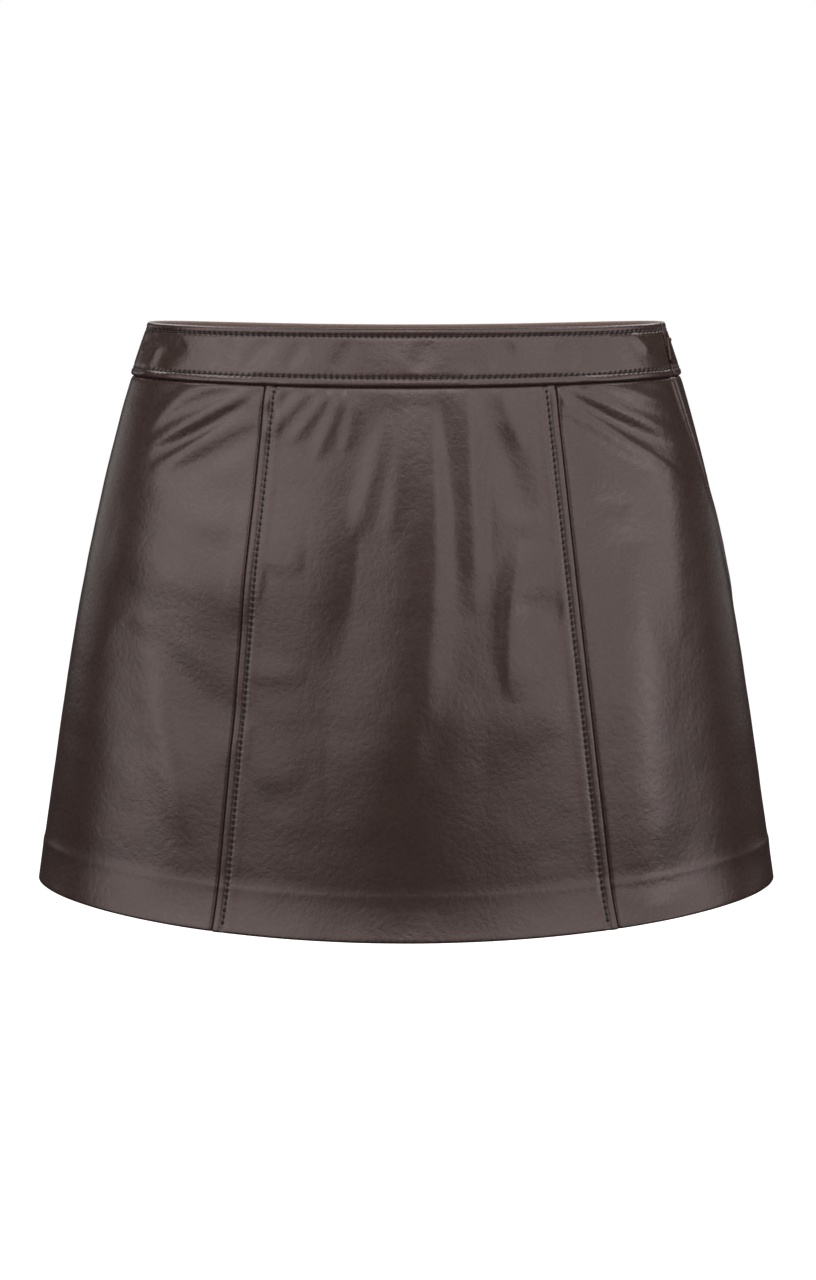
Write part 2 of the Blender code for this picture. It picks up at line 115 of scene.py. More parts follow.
# The back darts: distance from the middle at the waistband and at the point, and the point's level.
Dart = namedtuple("Dart", "x_waist x_point z_point")
DART_LENGTH = 0.096
DARTS = (Dart(0.0700, 0.0780, -0.1120), Dart(-0.0700, -0.0780, -0.1120))

# The creases, in millimetres. Each runs from (x0, z0) to (x1, z1) as seen from the front, bows to its left by
# bow, falls off over its own width on each side, and stands out by rise, or sinks where rise is below zero.
# peak is the share of its run where it is strongest, and spread is how many times wider it ends than it
# starts. square is 2 for a round profile and more for a flat one with steep walls. side is -1 in front and +1
# behind.
Crease = namedtuple(
    "Crease", "side x0 z0 x1 z1 bow left right rise peak spread square", defaults=(1.0, 2.0)
)
CREASES = (
    # drag lines on the wearer's right side panel, from the top of its front seam, with hollows between
    Crease(-1, -155, -50, -84, -18, 12, 5.5, 5.0, 1.5, 0.55),
    Crease(-1, -155, -56, -85, -19, 0, 4.7, 5.6, 1.35, 0.55),
    Crease(-1, -151, -61, -84, -27, 0, 5.0, 6.5, -1.1, 0.60),
    Crease(-1, -152, -70, -79, -22, -1.5, 3.1, 8.0, 1.0, 0.50),
    Crease(-1, -146, -77, -84, -42, 0, 6.0, 9.0, -1.1, 0.60),
    # broad swells, a slanting hollow and a long fold below them
    Crease(-1, -172, -94, -88, -101, 0, 14.0, 9.0, 0.8, 0.60),
    Crease(-1, -176, -112, -84, -143, 0, 32.0, 22.0, 2.5, 0.60),
    Crease(-1, -170, -158, -92, -216, -4, 16.0, 44.0, -2.2, 0.50),
    Crease(-1, -157, -150, -128, -288, 0, 13.0, 13.0, 1.4, 0.40),
    # a fan of small gathers at the left of the centre panel
    Crease(-1, -84, -32, -66, -16, 0, 4.0, 4.2, 0.8, 0.60),
    Crease(-1, -84, -50, -54, -19, 0.5, 5.0, 5.0, 1.0, 0.62),
    Crease(-1, -68, -52, -43, -20, 0, 5.0, 5.0, 0.9, 0.62),
    Crease(-1, -53, -62, -36, -20, 0, 4.6, 5.0, 0.8, 0.65),
    Crease(-1, -36, -58, -29, -24, 0, 4.0, 5.0, 0.5, 0.60),
    Crease(-1, -31, -108, -9, -32, 0, 6.0, 7.0, 0.8, 0.50),
    Crease(-1, -10, -108, 0, -30, 0, 6.0, 7.0, 0.6, 0.50),
    # the middle of the front stands out a little, all the way down
    Crease(-1, 8, 10, 0, -320, 0, 42.0, 40.0, 2.4, 0.55),
    # a long soft fold down the middle, steep on the wearer's right and falling off slowly on the left
    Crease(-1, 14, -30, 1, -246, 7, 8.0, 25.0, 2.4, 0.50, 1.7),
    # shorter folds and pockets beside it
    Crease(-1, 20, -20, 29, -134, 1, 12.0, 6.0, -0.8, 0.50),
    Crease(-1, 34, -6, 40, -150, 0, 7.0, 12.0, 1.5, 0.45),
    Crease(-1, 46, -44, 49, -126, 0, 4.0, 4.0, -0.35, 0.50),
    Crease(-1, 50, -40, 70, -96, 0, 11.0, 10.0, -1.3, 0.50),
    Crease(-1, 54, -18, 68, -56, 0, 5.0, 6.0, 0.6, 0.40),
    # a curled tuck and the soft dents beside it
    Crease(-1, 67, -106, 61, -200, -4, 15.0, 6.5, 1.8, 0.40),
    Crease(-1, 62, -144, 92, -149, 0, 11.0, 12.0, -1.0, 0.50),
    # level swells across the centre panel
    Crease(-1, -104, -118, -30, -126, 0, 44.0, 46.0, 2.8, 0.50),
    Crease(-1, -82, -119, -58, -121, 0, 16.0, 6.0, 0.5, 0.50),
    Crease(-1, -94, -184, -56, -183, 0, 9.0, 7.0, 0.4, 0.50),
    Crease(-1, -92, -242, -58, -243, 0, 12.0, 8.0, 0.4, 0.50),
    Crease(-1, 10, -207, 94, -205, 0, 34.0, 26.0, 1.5, 0.50),
    Crease(-1, -46, -238, 46, -238, 0, 44.0, 40.0, 1.2, 0.50),
    # drag lines on the wearer's left side panel, with hollows between and soft folds below
    Crease(-1, 96, -12, 157, -33, 0, 5.0, 4.6, 1.3, 0.52),
    Crease(-1, 91, -17, 161, -51, 0, 4.7, 5.4, 1.35, 0.45),
    Crease(-1, 92, -25, 158, -57, 0, 5.0, 6.5, -1.0, 0.45),
    Crease(-1, 83, -21, 162, -73, 0, 3.2, 8.0, 1.0, 0.50),
    Crease(-1, 88, -36, 154, -76, 0, 6.0, 9.0, -0.9, 0.45),
    Crease(-1, 88, -19, 93, -31, 0, 3.0, 2.0, 0.7, 0.30),
    Crease(-1, 110, -86, 131, -89, 0, 4.0, 6.0, -0.25, 0.50),
    Crease(-1, 156, -66, 161, -174, 0, 9.0, 9.0, 0.6, 0.40),
    Crease(-1, 134, -110, 146, -322, 0, 20.0, 22.0, 3.0, 0.60),
    # soft wrinkles on the waistband
    Crease(-1, -78, 9, -96, -12, 0, 4.0, 5.0, -0.75, 0.50),
    Crease(-1, -104, 10, -112, -10, 0, 5.0, 4.0, -0.50, 0.50),
    Crease(-1, -58, 7, -70, -9, 0, 4.0, 5.0, -0.50, 0.50),
    Crease(-1, -30, 8, -42, -10, 0, 6.0, 6.0, -0.50, 0.50),
    Crease(-1, 14, 9, 4, -10, 0, 7.0, 6.0, -0.50, 0.50),
    Crease(-1, 62, 6, 50, -9, 0, 4.5, 5.0, -0.50, 0.50),
    Crease(-1, 90, 9, 98, -8, 0, 5.0, 4.5, -0.60, 0.50),
    Crease(-1, 116, 10, 112, -8, 0, 4.0, 4.5, -0.45, 0.50),
    # the pinched bend at the waistband's right end, and a small tuck at its left end
    Crease(-1, -139, 15, -146, -15, 0, 5.0, 9.0, -1.3, 0.50),
    Crease(-1, -155, -16, -145, 5, 0, 2.4, 3.0, 1.2, 0.50),
    Crease(-1, -155, 0, -147, 12, 0, 2.0, 2.0, -0.9, 0.50),
    Crease(-1, -142, -3, -129, 6, 0, 4.0, 5.0, -0.8, 0.50),
    Crease(-1, 132, 11, 144, -2, 0, 2.2, 3.0, 0.9, 0.50),
    # the back hangs in similar, softer folds, with drag lines at both ends and small gathers at its top
    Crease(1, -70, -110, -94, -290, 4, 12.0, 13.0, -3.4, 0.45),
    Crease(1, -30, -130, -34, -300, -3, 10.0, 13.0, 2.6, 0.50),
    Crease(1, 22, -115, 30, -280, 4, 13.0, 11.0, -3.6, 0.40),
    Crease(1, 82, -125, 100, -300, -4, 12.0, 14.0, 3.0, 0.50),
    Crease(1, 104, -26, 148, -60, 5, 6.5, 4.0, 2.0, 0.50),
    Crease(1, 96, -28, 146, -74, 2, 8.0, 4.0, 1.6, 0.50),
    Crease(1, -104, -26, -150, -62, -5, 4.0, 6.5, 2.2, 0.50),
    Crease(1, -98, -30, -148, -76, -3, 4.0, 8.0, 1.5, 0.50),
    Crease(1, -58, -24, -66, -70, 0, 3.5, 4.5, 1.2, 0.40),
    Crease(1, 56, -24, 61, -62, 0, 4.5, 3.5, 1.1, 0.40),
    Crease(1, -12, -30, -18, -96, 2, 5.0, 6.0, -1.5, 0.50),
    Crease(1, 8, -28, 14, -84, -2, 5.0, 5.0, 1.2, 0.50),
    Crease(1, -40, -206, 30, -210, 3, 10.0, 16.0, 1.5, 0.50),
)

# A ridge or a groove along a line, in metres: the line's distance from the edge, how far it rises, or sinks
# where that is below zero, and its width before and past the line.
Ridge = namedtuple("Ridge", "at rise before past")
HEM_SHOW = Ridge(0.0262, 0.00030, 0.0042, 0.0036)  # the top of the turned-up hem shows through, above the hem
STRIP_FOLD = Ridge(0.0017, 0.00036, 0.0012, 0.0032)  # along the fold of the front seams' strip
STRIP_PUFF = Ridge(0.0090, 0.00030, 0.0026, 0.0026)  # the leather puffs up beyond that strip's stitches
ZIP_LIP = Ridge(0.0022, 0.0010, 0.0014, 0.0014)  # the folded edge beside the zip
DART_GROOVE = Ridge(0.0, -0.0008, 0.0007, 0.0007)
DART_SWELL = Ridge(0.0022, 0.0003, 0.0015, 0.0015)  # on each side of a dart
BAND_TOP_SWELL = Ridge(0.0022, 0.00022, 0.0013, 0.0013)  # between the waistband's stitches and its edges
BAND_FOOT_SWELL = Ridge(BAND_HEIGHT - 0.0023, 0.00022, 0.0014, 0.0014)
STITCH_GROOVE = Ridge(0.0, -0.00038, 0.0012, 0.0012)  # along a row of stitches
NEEDLE_DIMPLE = Ridge(0.0, -0.00065, 0.0011, 0.0011)  # at each needle hole

# An edge that sinks towards its seam, in metres: how deep at the edge, and over what width.
Sink = namedtuple("Sink", "depth width")
PLAIN_SINK = Sink(0.0018, 0.0008)  # beside the front seams' strip
SIDE_SINK = Sink(0.0007, 0.0015)  # at a side seam
TOP_TUCK = Sink(0.0010, 0.0010)  # a panel's top edge, drawn in under the waistband

# The radius that rounds off each edge, in metres.
STRIP_ROLL = 0.0008
PLAIN_ROLL = 0.0004
LIP_ROLL = 0.0007
BAND_END_ROLL = 0.0009

HEM_FLARE = 0.0054  # how far the hem's strip turns outward, in front and behind
WAVE_LENGTHS = np.linspace(0.010, 0.036, 16)  # of the leather's own slow unevenness
WAVE_RISE = 0.0006  # height of a wave, for each metre of its length
WAVE_SEED = 7


# ---------------------------------------------------------------- the form
def curve_through(levels, values, at):
    """A smooth curve through the rows of a table, read at the given levels. Levels run downwards."""
    z = -np.array(levels)
    v = np.array(values)
    slopes = np.gradient(v, z)
    at = np.clip(-np.asarray(at, float), z[0], z[-1])
    i = np.clip(np.searchsorted(z, at) - 1, 0, len(z) - 2)
    span = z[i + 1] - z[i]
    s = (at - z[i]) / span
    near = v[i] * (1 + 2 * s) * (1 - s) ** 2 + v[i + 1] * s * s * (3 - 2 * s)
    lean = slopes[i] * s * (1 - s) ** 2 - slopes[i + 1] * s * s * (1 - s)
    return near + lean * span


def column(rows, name, at):
    """One column of a table, as a smooth curve read at the given levels."""
    return curve_through([r.z for r in rows], [getattr(r, name) for r in rows], at)


def edge_level(edge, theta):
    """Level of an edge that runs round the skirt, at the turn theta from the middle of the front."""
    lean = np.cos(theta)
    return edge.side_z - np.where(lean > 0, edge.front_dip, edge.back_dip) * lean**2


def oval(theta, z):
    """A point of the plain form. theta 0 is the middle of the front and 90 degrees is +X."""
    half_width = column(SECTIONS, "half_width", z)
    depth = np.where(
        np.cos(theta) > 0, column(SECTIONS, "front_depth", z), column(SECTIONS, "back_depth", z)
    )
    every_z = z + 0 * theta
    return np.stack([half_width * np.sin(theta), -depth * np.cos(theta), every_z], -1)


def outward(theta, z):
    """The plain form's outward normal."""
    step = 1e-4
    round_it = oval(theta + step, z) - oval(theta - step, z)
    down_it = oval(theta, z - step) - oval(theta, z + step)
    normal = np.cross(down_it, round_it)
    return normal / np.linalg.norm(normal, axis=-1, keepdims=True)


def crease_height(point):
    """How far the creases move the leather out at a point of the form. Each fades towards both ends, where it
    is also half as wide."""
    x, y, z = (point[..., i] / MM for i in range(3))
    height = np.zeros_like(x)
    for c in CREASES:
        run_x, run_z = c.x1 - c.x0, c.z1 - c.z0
        length = math.hypot(run_x, run_z)
        along = np.clip(((x - c.x0) * run_x + (z - c.z0) * run_z) / length**2, 0, 1)
        across = ((z - c.z0) * run_x - (x - c.x0) * run_z) / length - c.bow * np.sin(math.pi * along)
        eased = np.where(along < c.peak, along / c.peak, (1 - along) / (1 - c.peak)) / 2
        ripe = np.sin(math.pi * eased)
        taper = ripe * np.sqrt(3 - 2 * ripe) * (y * c.side > 0)
        width = np.where(across > 0, c.left, c.right) * (1 + (c.spread - 1) * along) * (0.5 + 0.5 * taper)
        height += c.rise * taper * np.exp(-(np.abs(across / width) ** c.square))
    return height * MM


def undulation(point):
    """The leather's own slow unevenness: waves of many lengths in random directions."""
    rng = np.random.default_rng(WAVE_SEED)
    height = np.zeros(point.shape[:-1])
    for wave_length in WAVE_LENGTHS:
        heading = rng.normal(size=3)
        heading *= 2 * math.pi / wave_length / np.linalg.norm(heading)
        height += wave_length * np.sin(point @ heading + rng.uniform(0, 2 * math.pi))
    return height * WAVE_RISE


def form(theta, z, out):
    """A point of the skirt, out metres outside the leather's outer face."""
    point = oval(theta, z)
    height = crease_height(point) + undulation(point)
    return point + outward(theta, z) * (height + out)[..., None]


# ---------------------------------------------------------------- seams
def front_seam_turn(seam):
    """The line of a front seam, as the turn at each level."""

    def turn(z):
        share = np.clip((BAND_SEAM.side_z - z) / (BAND_SEAM.side_z + SIDE_DROP), 0, 1)
        x = seam.x_waist + (seam.x_hem - seam.x_waist) * share + seam.bow * np.sin(math.pi * share)
        return np.arcsin(x / column(SECTIONS, "half_width", z))

    return turn


def side_seam_turn(name, side):
    """The line of a side seam. side is -1 on the wearer's right and +1 on the left."""
    def turn(z):
        forward = column(SIDE_SEAMS, name, z)
        return side * (math.pi / 2 - np.arcsin(forward / column(SECTIONS, "front_depth", z)))

    return turn


def dart_turn(dart):
    """The line of a dart, carried on down to the hem."""

    def turn(z):
        lean = (dart.x_point - dart.x_waist) / (dart.z_point - BAND_SEAM.side_z)
        x = dart.x_waist + lean * (z - BAND_SEAM.side_z)
        return math.pi - np.arcsin(x / column(SECTIONS, "half_width", z))

    return turn


right_front = front_seam_turn(RIGHT_FRONT_SEAM)
left_front = front_seam_turn(LEFT_FRONT_SEAM)
right_side = side_seam_turn("right_forward", -1)
left_side = side_seam_turn("left_forward", 1)


def behind(z):
    """The wearer's right side seam, reached from the back."""
    return right_side(z) + 2 * math.pi


# ---------------------------------------------------------------- grids of points between seams
Grid = namedtuple("Grid", "turns levels from_guides")
BOTH_ENDS = ((0, 1), (-1, -2))  # at each end of a grid, its outermost column and the one beside it
WALK_POINTS = 401  # a row's length is measured through this many points


def row_turns(guides, z, near, spacing_counts):
    """Turns of one row: close columns beside each guide line and even ones between. Also each one's distance,
    with its sign, from every guide."""
    turns = np.linspace(guides[0](z), guides[-1](z), WALK_POINTS)
    points = oval(turns, z)[:, :2]
    walked = np.concatenate([[0], np.cumsum(np.hypot(*np.diff(points, axis=0).T))])
    stations = [np.interp(g(z), turns, walked) for g in guides]
    marks = []
    for i, count in enumerate(spacing_counts):
        first = stations[i] + near[i][1:] if i else stations[i] + near[i]
        last = (stations[i + 1] - near[i + 1])[::-1]
        marks += [first[:-1], np.linspace(first[-1], last[0], count + 1), last[1:]]
    marks = np.concatenate(marks)
    return np.interp(marks, walked, turns), np.array([marks - s for s in stations])


def grid(guides, top, bottom, drops, near, spacing_counts):
    """Turns, levels and distances from the guides, for a piece between two seams and two edges."""
    nominal = top.side_z - drops
    rows = [row_turns(guides, z, near, spacing_counts) for z in nominal]
    turns = np.array([r[0] for r in rows])
    from_guides = np.array([r[1] for r in rows]).transpose(1, 0, 2)
    shares = (drops / (top.side_z - bottom.side_z))[:, None]
    upper, lower = edge_level(top, turns), edge_level(bottom, turns)
    return Grid(turns, upper + (lower - upper) * shares, from_guides)


def rolled(distance, radius):
    """How far a rounded edge has dropped, at a distance in from it."""
    left = radius - np.clip(distance, 0, radius)
    return radius - np.sqrt(radius**2 - left**2)


def bell(distance, width):
    return np.exp(-((distance / width) ** 2))


def ridge(distance, r):
    """How far a ridge or groove moves the leather, at a distance in from the edge."""
    away = distance - r.at
    return r.rise * bell(away, np.where(away > 0, r.past, r.before))


def sunk(distance, sink):
    """How far an edge sinks towards its seam, at a distance in from it."""
    return -sink.depth * np.exp(-distance / sink.width)


def before(distance, edge, softness):
    """1 up to an edge and 0 beyond it, with a soft change between."""
    return 0.5 - 0.5 * np.tanh((distance - edge) / (2 * softness))


def sewn_dimples(across, along):
    """The groove along a row of stitches, deeper at each needle hole and uneven along its length."""
    pull = 0.85 + 0.15 * np.sin(along / 0.019) * np.sin(along / 0.0071 + 1.3)
    holes = np.cos(math.pi * along / STITCH_PITCH) ** 4
    return pull * (ridge(across, STITCH_GROOVE) + holes * ridge(across, NEEDLE_DIMPLE))


# ---------------------------------------------------------------- meshes
def mesh_object(name, points, faces, materials, indices=None, smooth_angle=50):
    """A mesh with its materials, smooth except where its faces meet at more than smooth_angle degrees."""
    data = bpy.data.meshes.new(name)
    data.from_pydata(np.asarray(points).tolist(), [], faces)
    for material in materials:
        data.materials.append(material)
    if indices is not None:
        data.polygons.foreach_set("material_index", np.asarray(indices, np.int32))
    data.shade_smooth()
    data.set_sharp_from_angle(angle=math.radians(smooth_angle))
    made = bpy.data.objects.new(name, data)
    bpy.context.scene.collection.objects.link(made)
    return made


def wall(name, outer, inner, materials, inner_row_material):
    """A closed wall between two grids of the same shape. Materials are the grain side and the flesh side, and
    inner_row_material says which of them each row of the inner face shows."""
    rows, columns = outer.shape[:2]
    count = rows * columns
    out = np.arange(count).reshape(rows, columns)
    back = out + count
    face = np.stack([out[:-1, :-1], out[1:, :-1], out[1:, 1:], out[:-1, 1:]], -1).reshape(-1, 4)
    rims = (
        np.stack([out[0, :-1], out[0, 1:], back[0, 1:], back[0, :-1]], -1),
        np.stack([out[-1, :-1], back[-1, :-1], back[-1, 1:], out[-1, 1:]], -1),
        np.stack([out[:-1, 0], back[:-1, 0], back[1:, 0], out[1:, 0]], -1),
        np.stack([out[:-1, -1], out[1:, -1], back[1:, -1], back[:-1, -1]], -1),
    )
    faces = np.concatenate([face, face[:, ::-1] + count, *rims])
    indices = np.zeros(len(faces), int)
    indices[len(face) : 2 * len(face)] = np.repeat(inner_row_material, columns - 1)
    points = np.concatenate([outer.reshape(-1, 3), inner.reshape(-1, 3)])
    return mesh_object(name, points, faces.tolist(), materials, indices)


def repeated(template_points, template_faces, places):
    """A small shape set at every place, as one mesh. A place is a 4 x 4 matrix."""
    places = np.asarray(places)
    points = template_points @ places[:, :3, :3].transpose(0, 2, 1) + places[:, None, :3, 3]
    shift = np.arange(len(places)) * len(template_points)
    faces = np.asarray(template_faces)[None] + shift[:, None, None]
    return points.reshape(-1, 3), faces.reshape(-1, faces.shape[-1])


def tube_rings(path, radii, sides):
    """An open tube round a path in the XZ plane: its rings of points and the faces between them."""
    path = np.asarray(path, float)
    heading = np.gradient(path, axis=0)
    heading /= np.linalg.norm(heading, axis=1, keepdims=True)
    across = np.array([0.0, 1.0, 0.0])
    up = np.cross(heading, across)
    turn = np.linspace(0, 2 * math.pi, sides, endpoint=False)
    ring = np.cos(turn)[None, :, None] * across + np.sin(turn)[None, :, None] * up[:, None]
    points = (path[:, None] + ring * np.asarray(radii)[:, None, None]).reshape(-1, 3)
    at = np.arange(len(path) * sides).reshape(len(path), sides)
    nxt = np.roll(at, -1, axis=1)
    faces = np.stack([at[:-1], nxt[:-1], nxt[1:], at[1:]], -1).reshape(-1, 4)
    return points, faces


# ---------------------------------------------------------------- materials
def linear(hex_colour):
    """An sRGB hex value as a linear colour."""
    channels = [int(hex_colour[i : i + 2], 16) / 255 for i in (1, 3, 5)]
    return (*[c / 12.92 if c <= 0.04045 else ((c + 0.055) / 1.055) ** 2.4 for c in channels], 1.0)


def add(tree, kind, settings, inputs):
    """Adds a node with its settings and its inputs, which are values or the outputs of other nodes."""
    node = tree.nodes.new(kind)
    for name, value in settings.items():
        setattr(node, name, value)
    for name, value in inputs.items():
        if isinstance(value, bpy.types.NodeSocket):
            tree.links.new(value, node.inputs[name])
        else:
            node.inputs[name].default_value = value
    return node


def new_material(name):
    """A named material with an empty tree, and the place of each point on its piece."""
    made = bpy.data.materials.new(name)
    made.use_nodes = True
    tree = made.node_tree
    tree.nodes.clear()
    return made, tree, add(tree, "ShaderNodeTexCoord", {}, {}).outputs["Object"]


def per_metre(size_mm):
    """The scale that makes a noise's or a Voronoi cell's size this many millimetres."""
    return 1000 / size_mm


def nappa_leather():
    """Drum-dyed nappa with a pigmented, lightly polished finish: an even dark brown that clouds a little from
    place to place, a fine pebbled grain that breaks up the gloss, and a soft, very slightly warm shine."""
    material, tree, place = new_material("brown_nappa_leather_polished")
    clouds = add(tree, "ShaderNodeTexNoise", {}, {"Vector": place, "Scale": per_metre(22), "Detail": 4.0})
    mottle = add(tree, "ShaderNodeTexNoise", {}, {"Vector": place, "Scale": per_metre(3.2), "Detail": 3.0})
    colour = add(
        tree, "ShaderNodeMix", {"data_type": "RGBA"},
        {0: clouds.outputs["Fac"], 6: linear("#2b201d"), 7: linear("#362825")},
    )
    # Nappa's pebbles are about 0.6 mm. They are drawn at 1.1 mm, as finer ones don't show from a step away.
    pebbles = add(
        tree, "ShaderNodeTexVoronoi", {"feature": "SMOOTH_F1"},
        {"Vector": place, "Scale": per_metre(1.1), "Smoothness": 0.6, "Randomness": 1.0},
    )
    grain = add(
        tree, "ShaderNodeBump", {},
        {"Height": pebbles.outputs["Distance"], "Strength": 0.14, "Distance": 0.0003},
    )
    soft = add(
        tree, "ShaderNodeBump", {},
        {"Height": mottle.outputs["Fac"], "Strength": 0.26, "Distance": 0.0006, "Normal": grain.outputs[0]},
    )
    rough = add(
        tree, "ShaderNodeMapRange", {},
        {"Value": mottle.outputs["Fac"], "From Min": 0.3, "From Max": 0.7, "To Min": 0.25, "To Max": 0.31},
    )
    shader = add(
        tree, "ShaderNodeBsdfPrincipled", {},
        {
            "Base Color": colour.outputs[2],
            "Roughness": rough.outputs[0],
            "IOR": 1.52,
            "Specular Tint": linear("#ffedeb"),
            "Normal": soft.outputs[0],
        },
    )
    add(tree, "ShaderNodeOutputMaterial", {}, {"Surface": shader.outputs[0]})
    return material


def flesh_side():
    """The leather's buffed flesh side: a dull, slightly paler brown nap with no shine."""
    material, tree, place = new_material("brown_leather_buffed_flesh_side")
    nap = add(tree, "ShaderNodeTexNoise", {}, {"Vector": place, "Scale": per_metre(1.4), "Detail": 5.0})
    colour = add(
        tree, "ShaderNodeMix", {"data_type": "RGBA"},
        {0: nap.outputs["Fac"], 6: linear("#5a4841"), 7: linear("#75625a")},
    )
    bump = add(
        tree, "ShaderNodeBump", {}, {"Height": nap.outputs["Fac"], "Strength": 0.3, "Distance": 0.0004}
    )
    shader = add(
        tree, "ShaderNodeBsdfPrincipled", {},
        {
            "Base Color": colour.outputs[2],
            "Roughness": 0.92,
            "IOR": 1.45,
            "Sheen Weight": 0.25,
            "Sheen Roughness": 0.5,
            "Normal": bump.outputs[0],
        },
    )
    add(tree, "ShaderNodeOutputMaterial", {}, {"Surface": shader.outputs[0]})
    return material


def bonded_thread():
    """Bonded polyester sewing thread, dyed a shade darker than the leather: nearly matt, with its twist just
    seen."""
    material, tree, place = new_material("dark_brown_bonded_thread")
    # The two plies turn once in about 0.8 mm.
    twist = add(tree, "ShaderNodeTexNoise", {}, {"Vector": place, "Scale": per_metre(0.8), "Detail": 2.0})
    colour = add(
        tree, "ShaderNodeMix", {"data_type": "RGBA"},
        {0: twist.outputs["Fac"], 6: linear("#1a1210"), 7: linear("#261b18")},
    )
    shader = add(
        tree, "ShaderNodeBsdfPrincipled", {},
        {"Base Color": colour.outputs[2], "Roughness": 0.62, "IOR": 1.5},
    )
    add(tree, "ShaderNodeOutputMaterial", {}, {"Surface": shader.outputs[0]})
    return material


def needle_hole_painted_shade():
    """Painted shade for the needle holes: a dull near-black brown on the dome in each hole, in place of the
    shade in the hole and its dimple.
    """
    material, tree, place = new_material("painted_shade_needle_hole")
    shade_speckle = add(tree, "ShaderNodeTexNoise", {}, {"Vector": place, "Scale": per_metre(0.4)})
    colour = add(
        tree, "ShaderNodeMix", {"data_type": "RGBA"},
        {0: shade_speckle.outputs["Fac"], 6: linear("#0a0706"), 7: linear("#140d0b")},
    )
    shader = add(tree, "ShaderNodeBsdfPrincipled", {}, {"Base Color": colour.outputs[2], "Roughness": 0.95})
    add(tree, "ShaderNodeOutputMaterial", {}, {"Surface": shader.outputs[0]})
    return material


def woven_tape():
    """The zip's woven polyester tape: a matt dark brown with soft ribs across it, with painted shade that
    makes their hollows darker and their crests lighter.
    """
    material, tree, place = new_material("brown_woven_polyester_tape")
    # The weft is 0.5 mm apart, too fine to show. A wave texture's bands lie 2 pi / 20 of its unit apart, so
    # these ribs come every 5.7 mm, as a soft ripple in the tape.
    ribs = add(
        tree, "ShaderNodeTexWave", {"wave_type": "BANDS", "bands_direction": "Z"},
        {"Vector": place, "Scale": per_metre(0.9) / 20, "Distortion": 0.6},
    )
    # painted shade: the colour follows the ribs' height, darker in their hollows and lighter on their crests
    colour = add(
        tree, "ShaderNodeMix", {"data_type": "RGBA"},
        {0: ribs.outputs["Fac"], 6: linear("#2a1f1c"), 7: linear("#43332f")},
    )
    bump = add(
        tree, "ShaderNodeBump", {}, {"Height": ribs.outputs["Fac"], "Strength": 0.4, "Distance": 0.0002}
    )
    shader = add(
        tree, "ShaderNodeBsdfPrincipled", {},
        {"Base Color": colour.outputs[2], "Roughness": 0.85, "Normal": bump.outputs[0]},
    )
    add(tree, "ShaderNodeOutputMaterial", {}, {"Surface": shader.outputs[0]})
    return material


def nylon_coil():
    """The zip's moulded nylon coil: dark brown, smooth and slightly glossy."""
    material, tree, place = new_material("brown_nylon_coil_moulded")
    shade = add(tree, "ShaderNodeTexNoise", {}, {"Vector": place, "Scale": per_metre(6)})
    colour = add(
        tree, "ShaderNodeMix", {"data_type": "RGBA"},
        {0: shade.outputs["Fac"], 6: linear("#2b1f1c"), 7: linear("#362824")},
    )
    shader = add(
        tree, "ShaderNodeBsdfPrincipled", {},
        {"Base Color": colour.outputs[2], "Roughness": 0.38, "IOR": 1.53},
    )
    add(tree, "ShaderNodeOutputMaterial", {}, {"Surface": shader.outputs[0]})
    return material


def lacquered_zinc():
    """Die-cast zinc with a brown lacquer, tumbled smooth: a hard shine over a dark metal tone, with small
    scuffs."""
    material, tree, place = new_material("brown_lacquered_zinc_die_cast")
    scuffs = add(tree, "ShaderNodeTexNoise", {}, {"Vector": place, "Scale": per_metre(1.2), "Detail": 4.0})
    colour = add(
        tree, "ShaderNodeMix", {"data_type": "RGBA"},
        {0: scuffs.outputs["Fac"], 6: linear("#4a3a35"), 7: linear("#6b5750")},
    )
    rough = add(
        tree, "ShaderNodeMapRange", {}, {"Value": scuffs.outputs["Fac"], "To Min": 0.22, "To Max": 0.42}
    )
    shader = add(
        tree, "ShaderNodeBsdfPrincipled", {},
        {"Base Color": colour.outputs[2], "Roughness": rough.outputs[0], "Metallic": 0.85},
    )
    add(tree, "ShaderNodeOutputMaterial", {}, {"Surface": shader.outputs[0]})
    return material


LEATHER = nappa_leather()
FLESH = flesh_side()
THREAD = bonded_thread()
# painted shade: the near-black colour of the domes in the needle holes
HOLE_SHADE = needle_hole_painted_shade()
TAPE = woven_tape()
COIL = nylon_coil()
METAL = lacquered_zinc()

# ---------------------------------------------------------------- rows and columns
# Close columns beside a stitched-down strip, a plain seam and a dart, by their distance from its line.
STRIP_COLUMNS = MM * np.array(
    [0.15, 0.25, 0.4, 0.6, 0.85, 1.2, 1.8, 2.6, 3.5, 4.3, 4.9, 5.3, 5.6, 5.9, 6.3, 6.9, 7.7, 8.8, 10.2, 11.8]
)
SEAM_COLUMNS = MM * np.array([0.15, 0.3, 0.55, 0.9, 1.4, 2.1, 3.0, 4.2, 5.6, 7.2])
DART_COLUMNS = MM * np.array([0.0, 0.3, 0.6, 1.0, 1.6, 2.5, 3.8, 5.6])
STRIP_STITCH = int(np.argmin(abs(STRIP_COLUMNS - WELT_WIDTH)))  # the column that the strip's stitches follow
ROLL = (HEM_RELIEF + HEM_INSIDE) / 2  # radius of the folded hem
ROLL_TURNS = np.radians([0, 18, 36, 54, 70, 84])
ROW_STEP = STITCH_PITCH / 3
RELIEF_FROM, RELIEF_TO = 0.0330, 0.0190  # above the hem, where the rows close up over the hem's relief
RELIEF_ROWS, LOW_ROWS = 20, 13


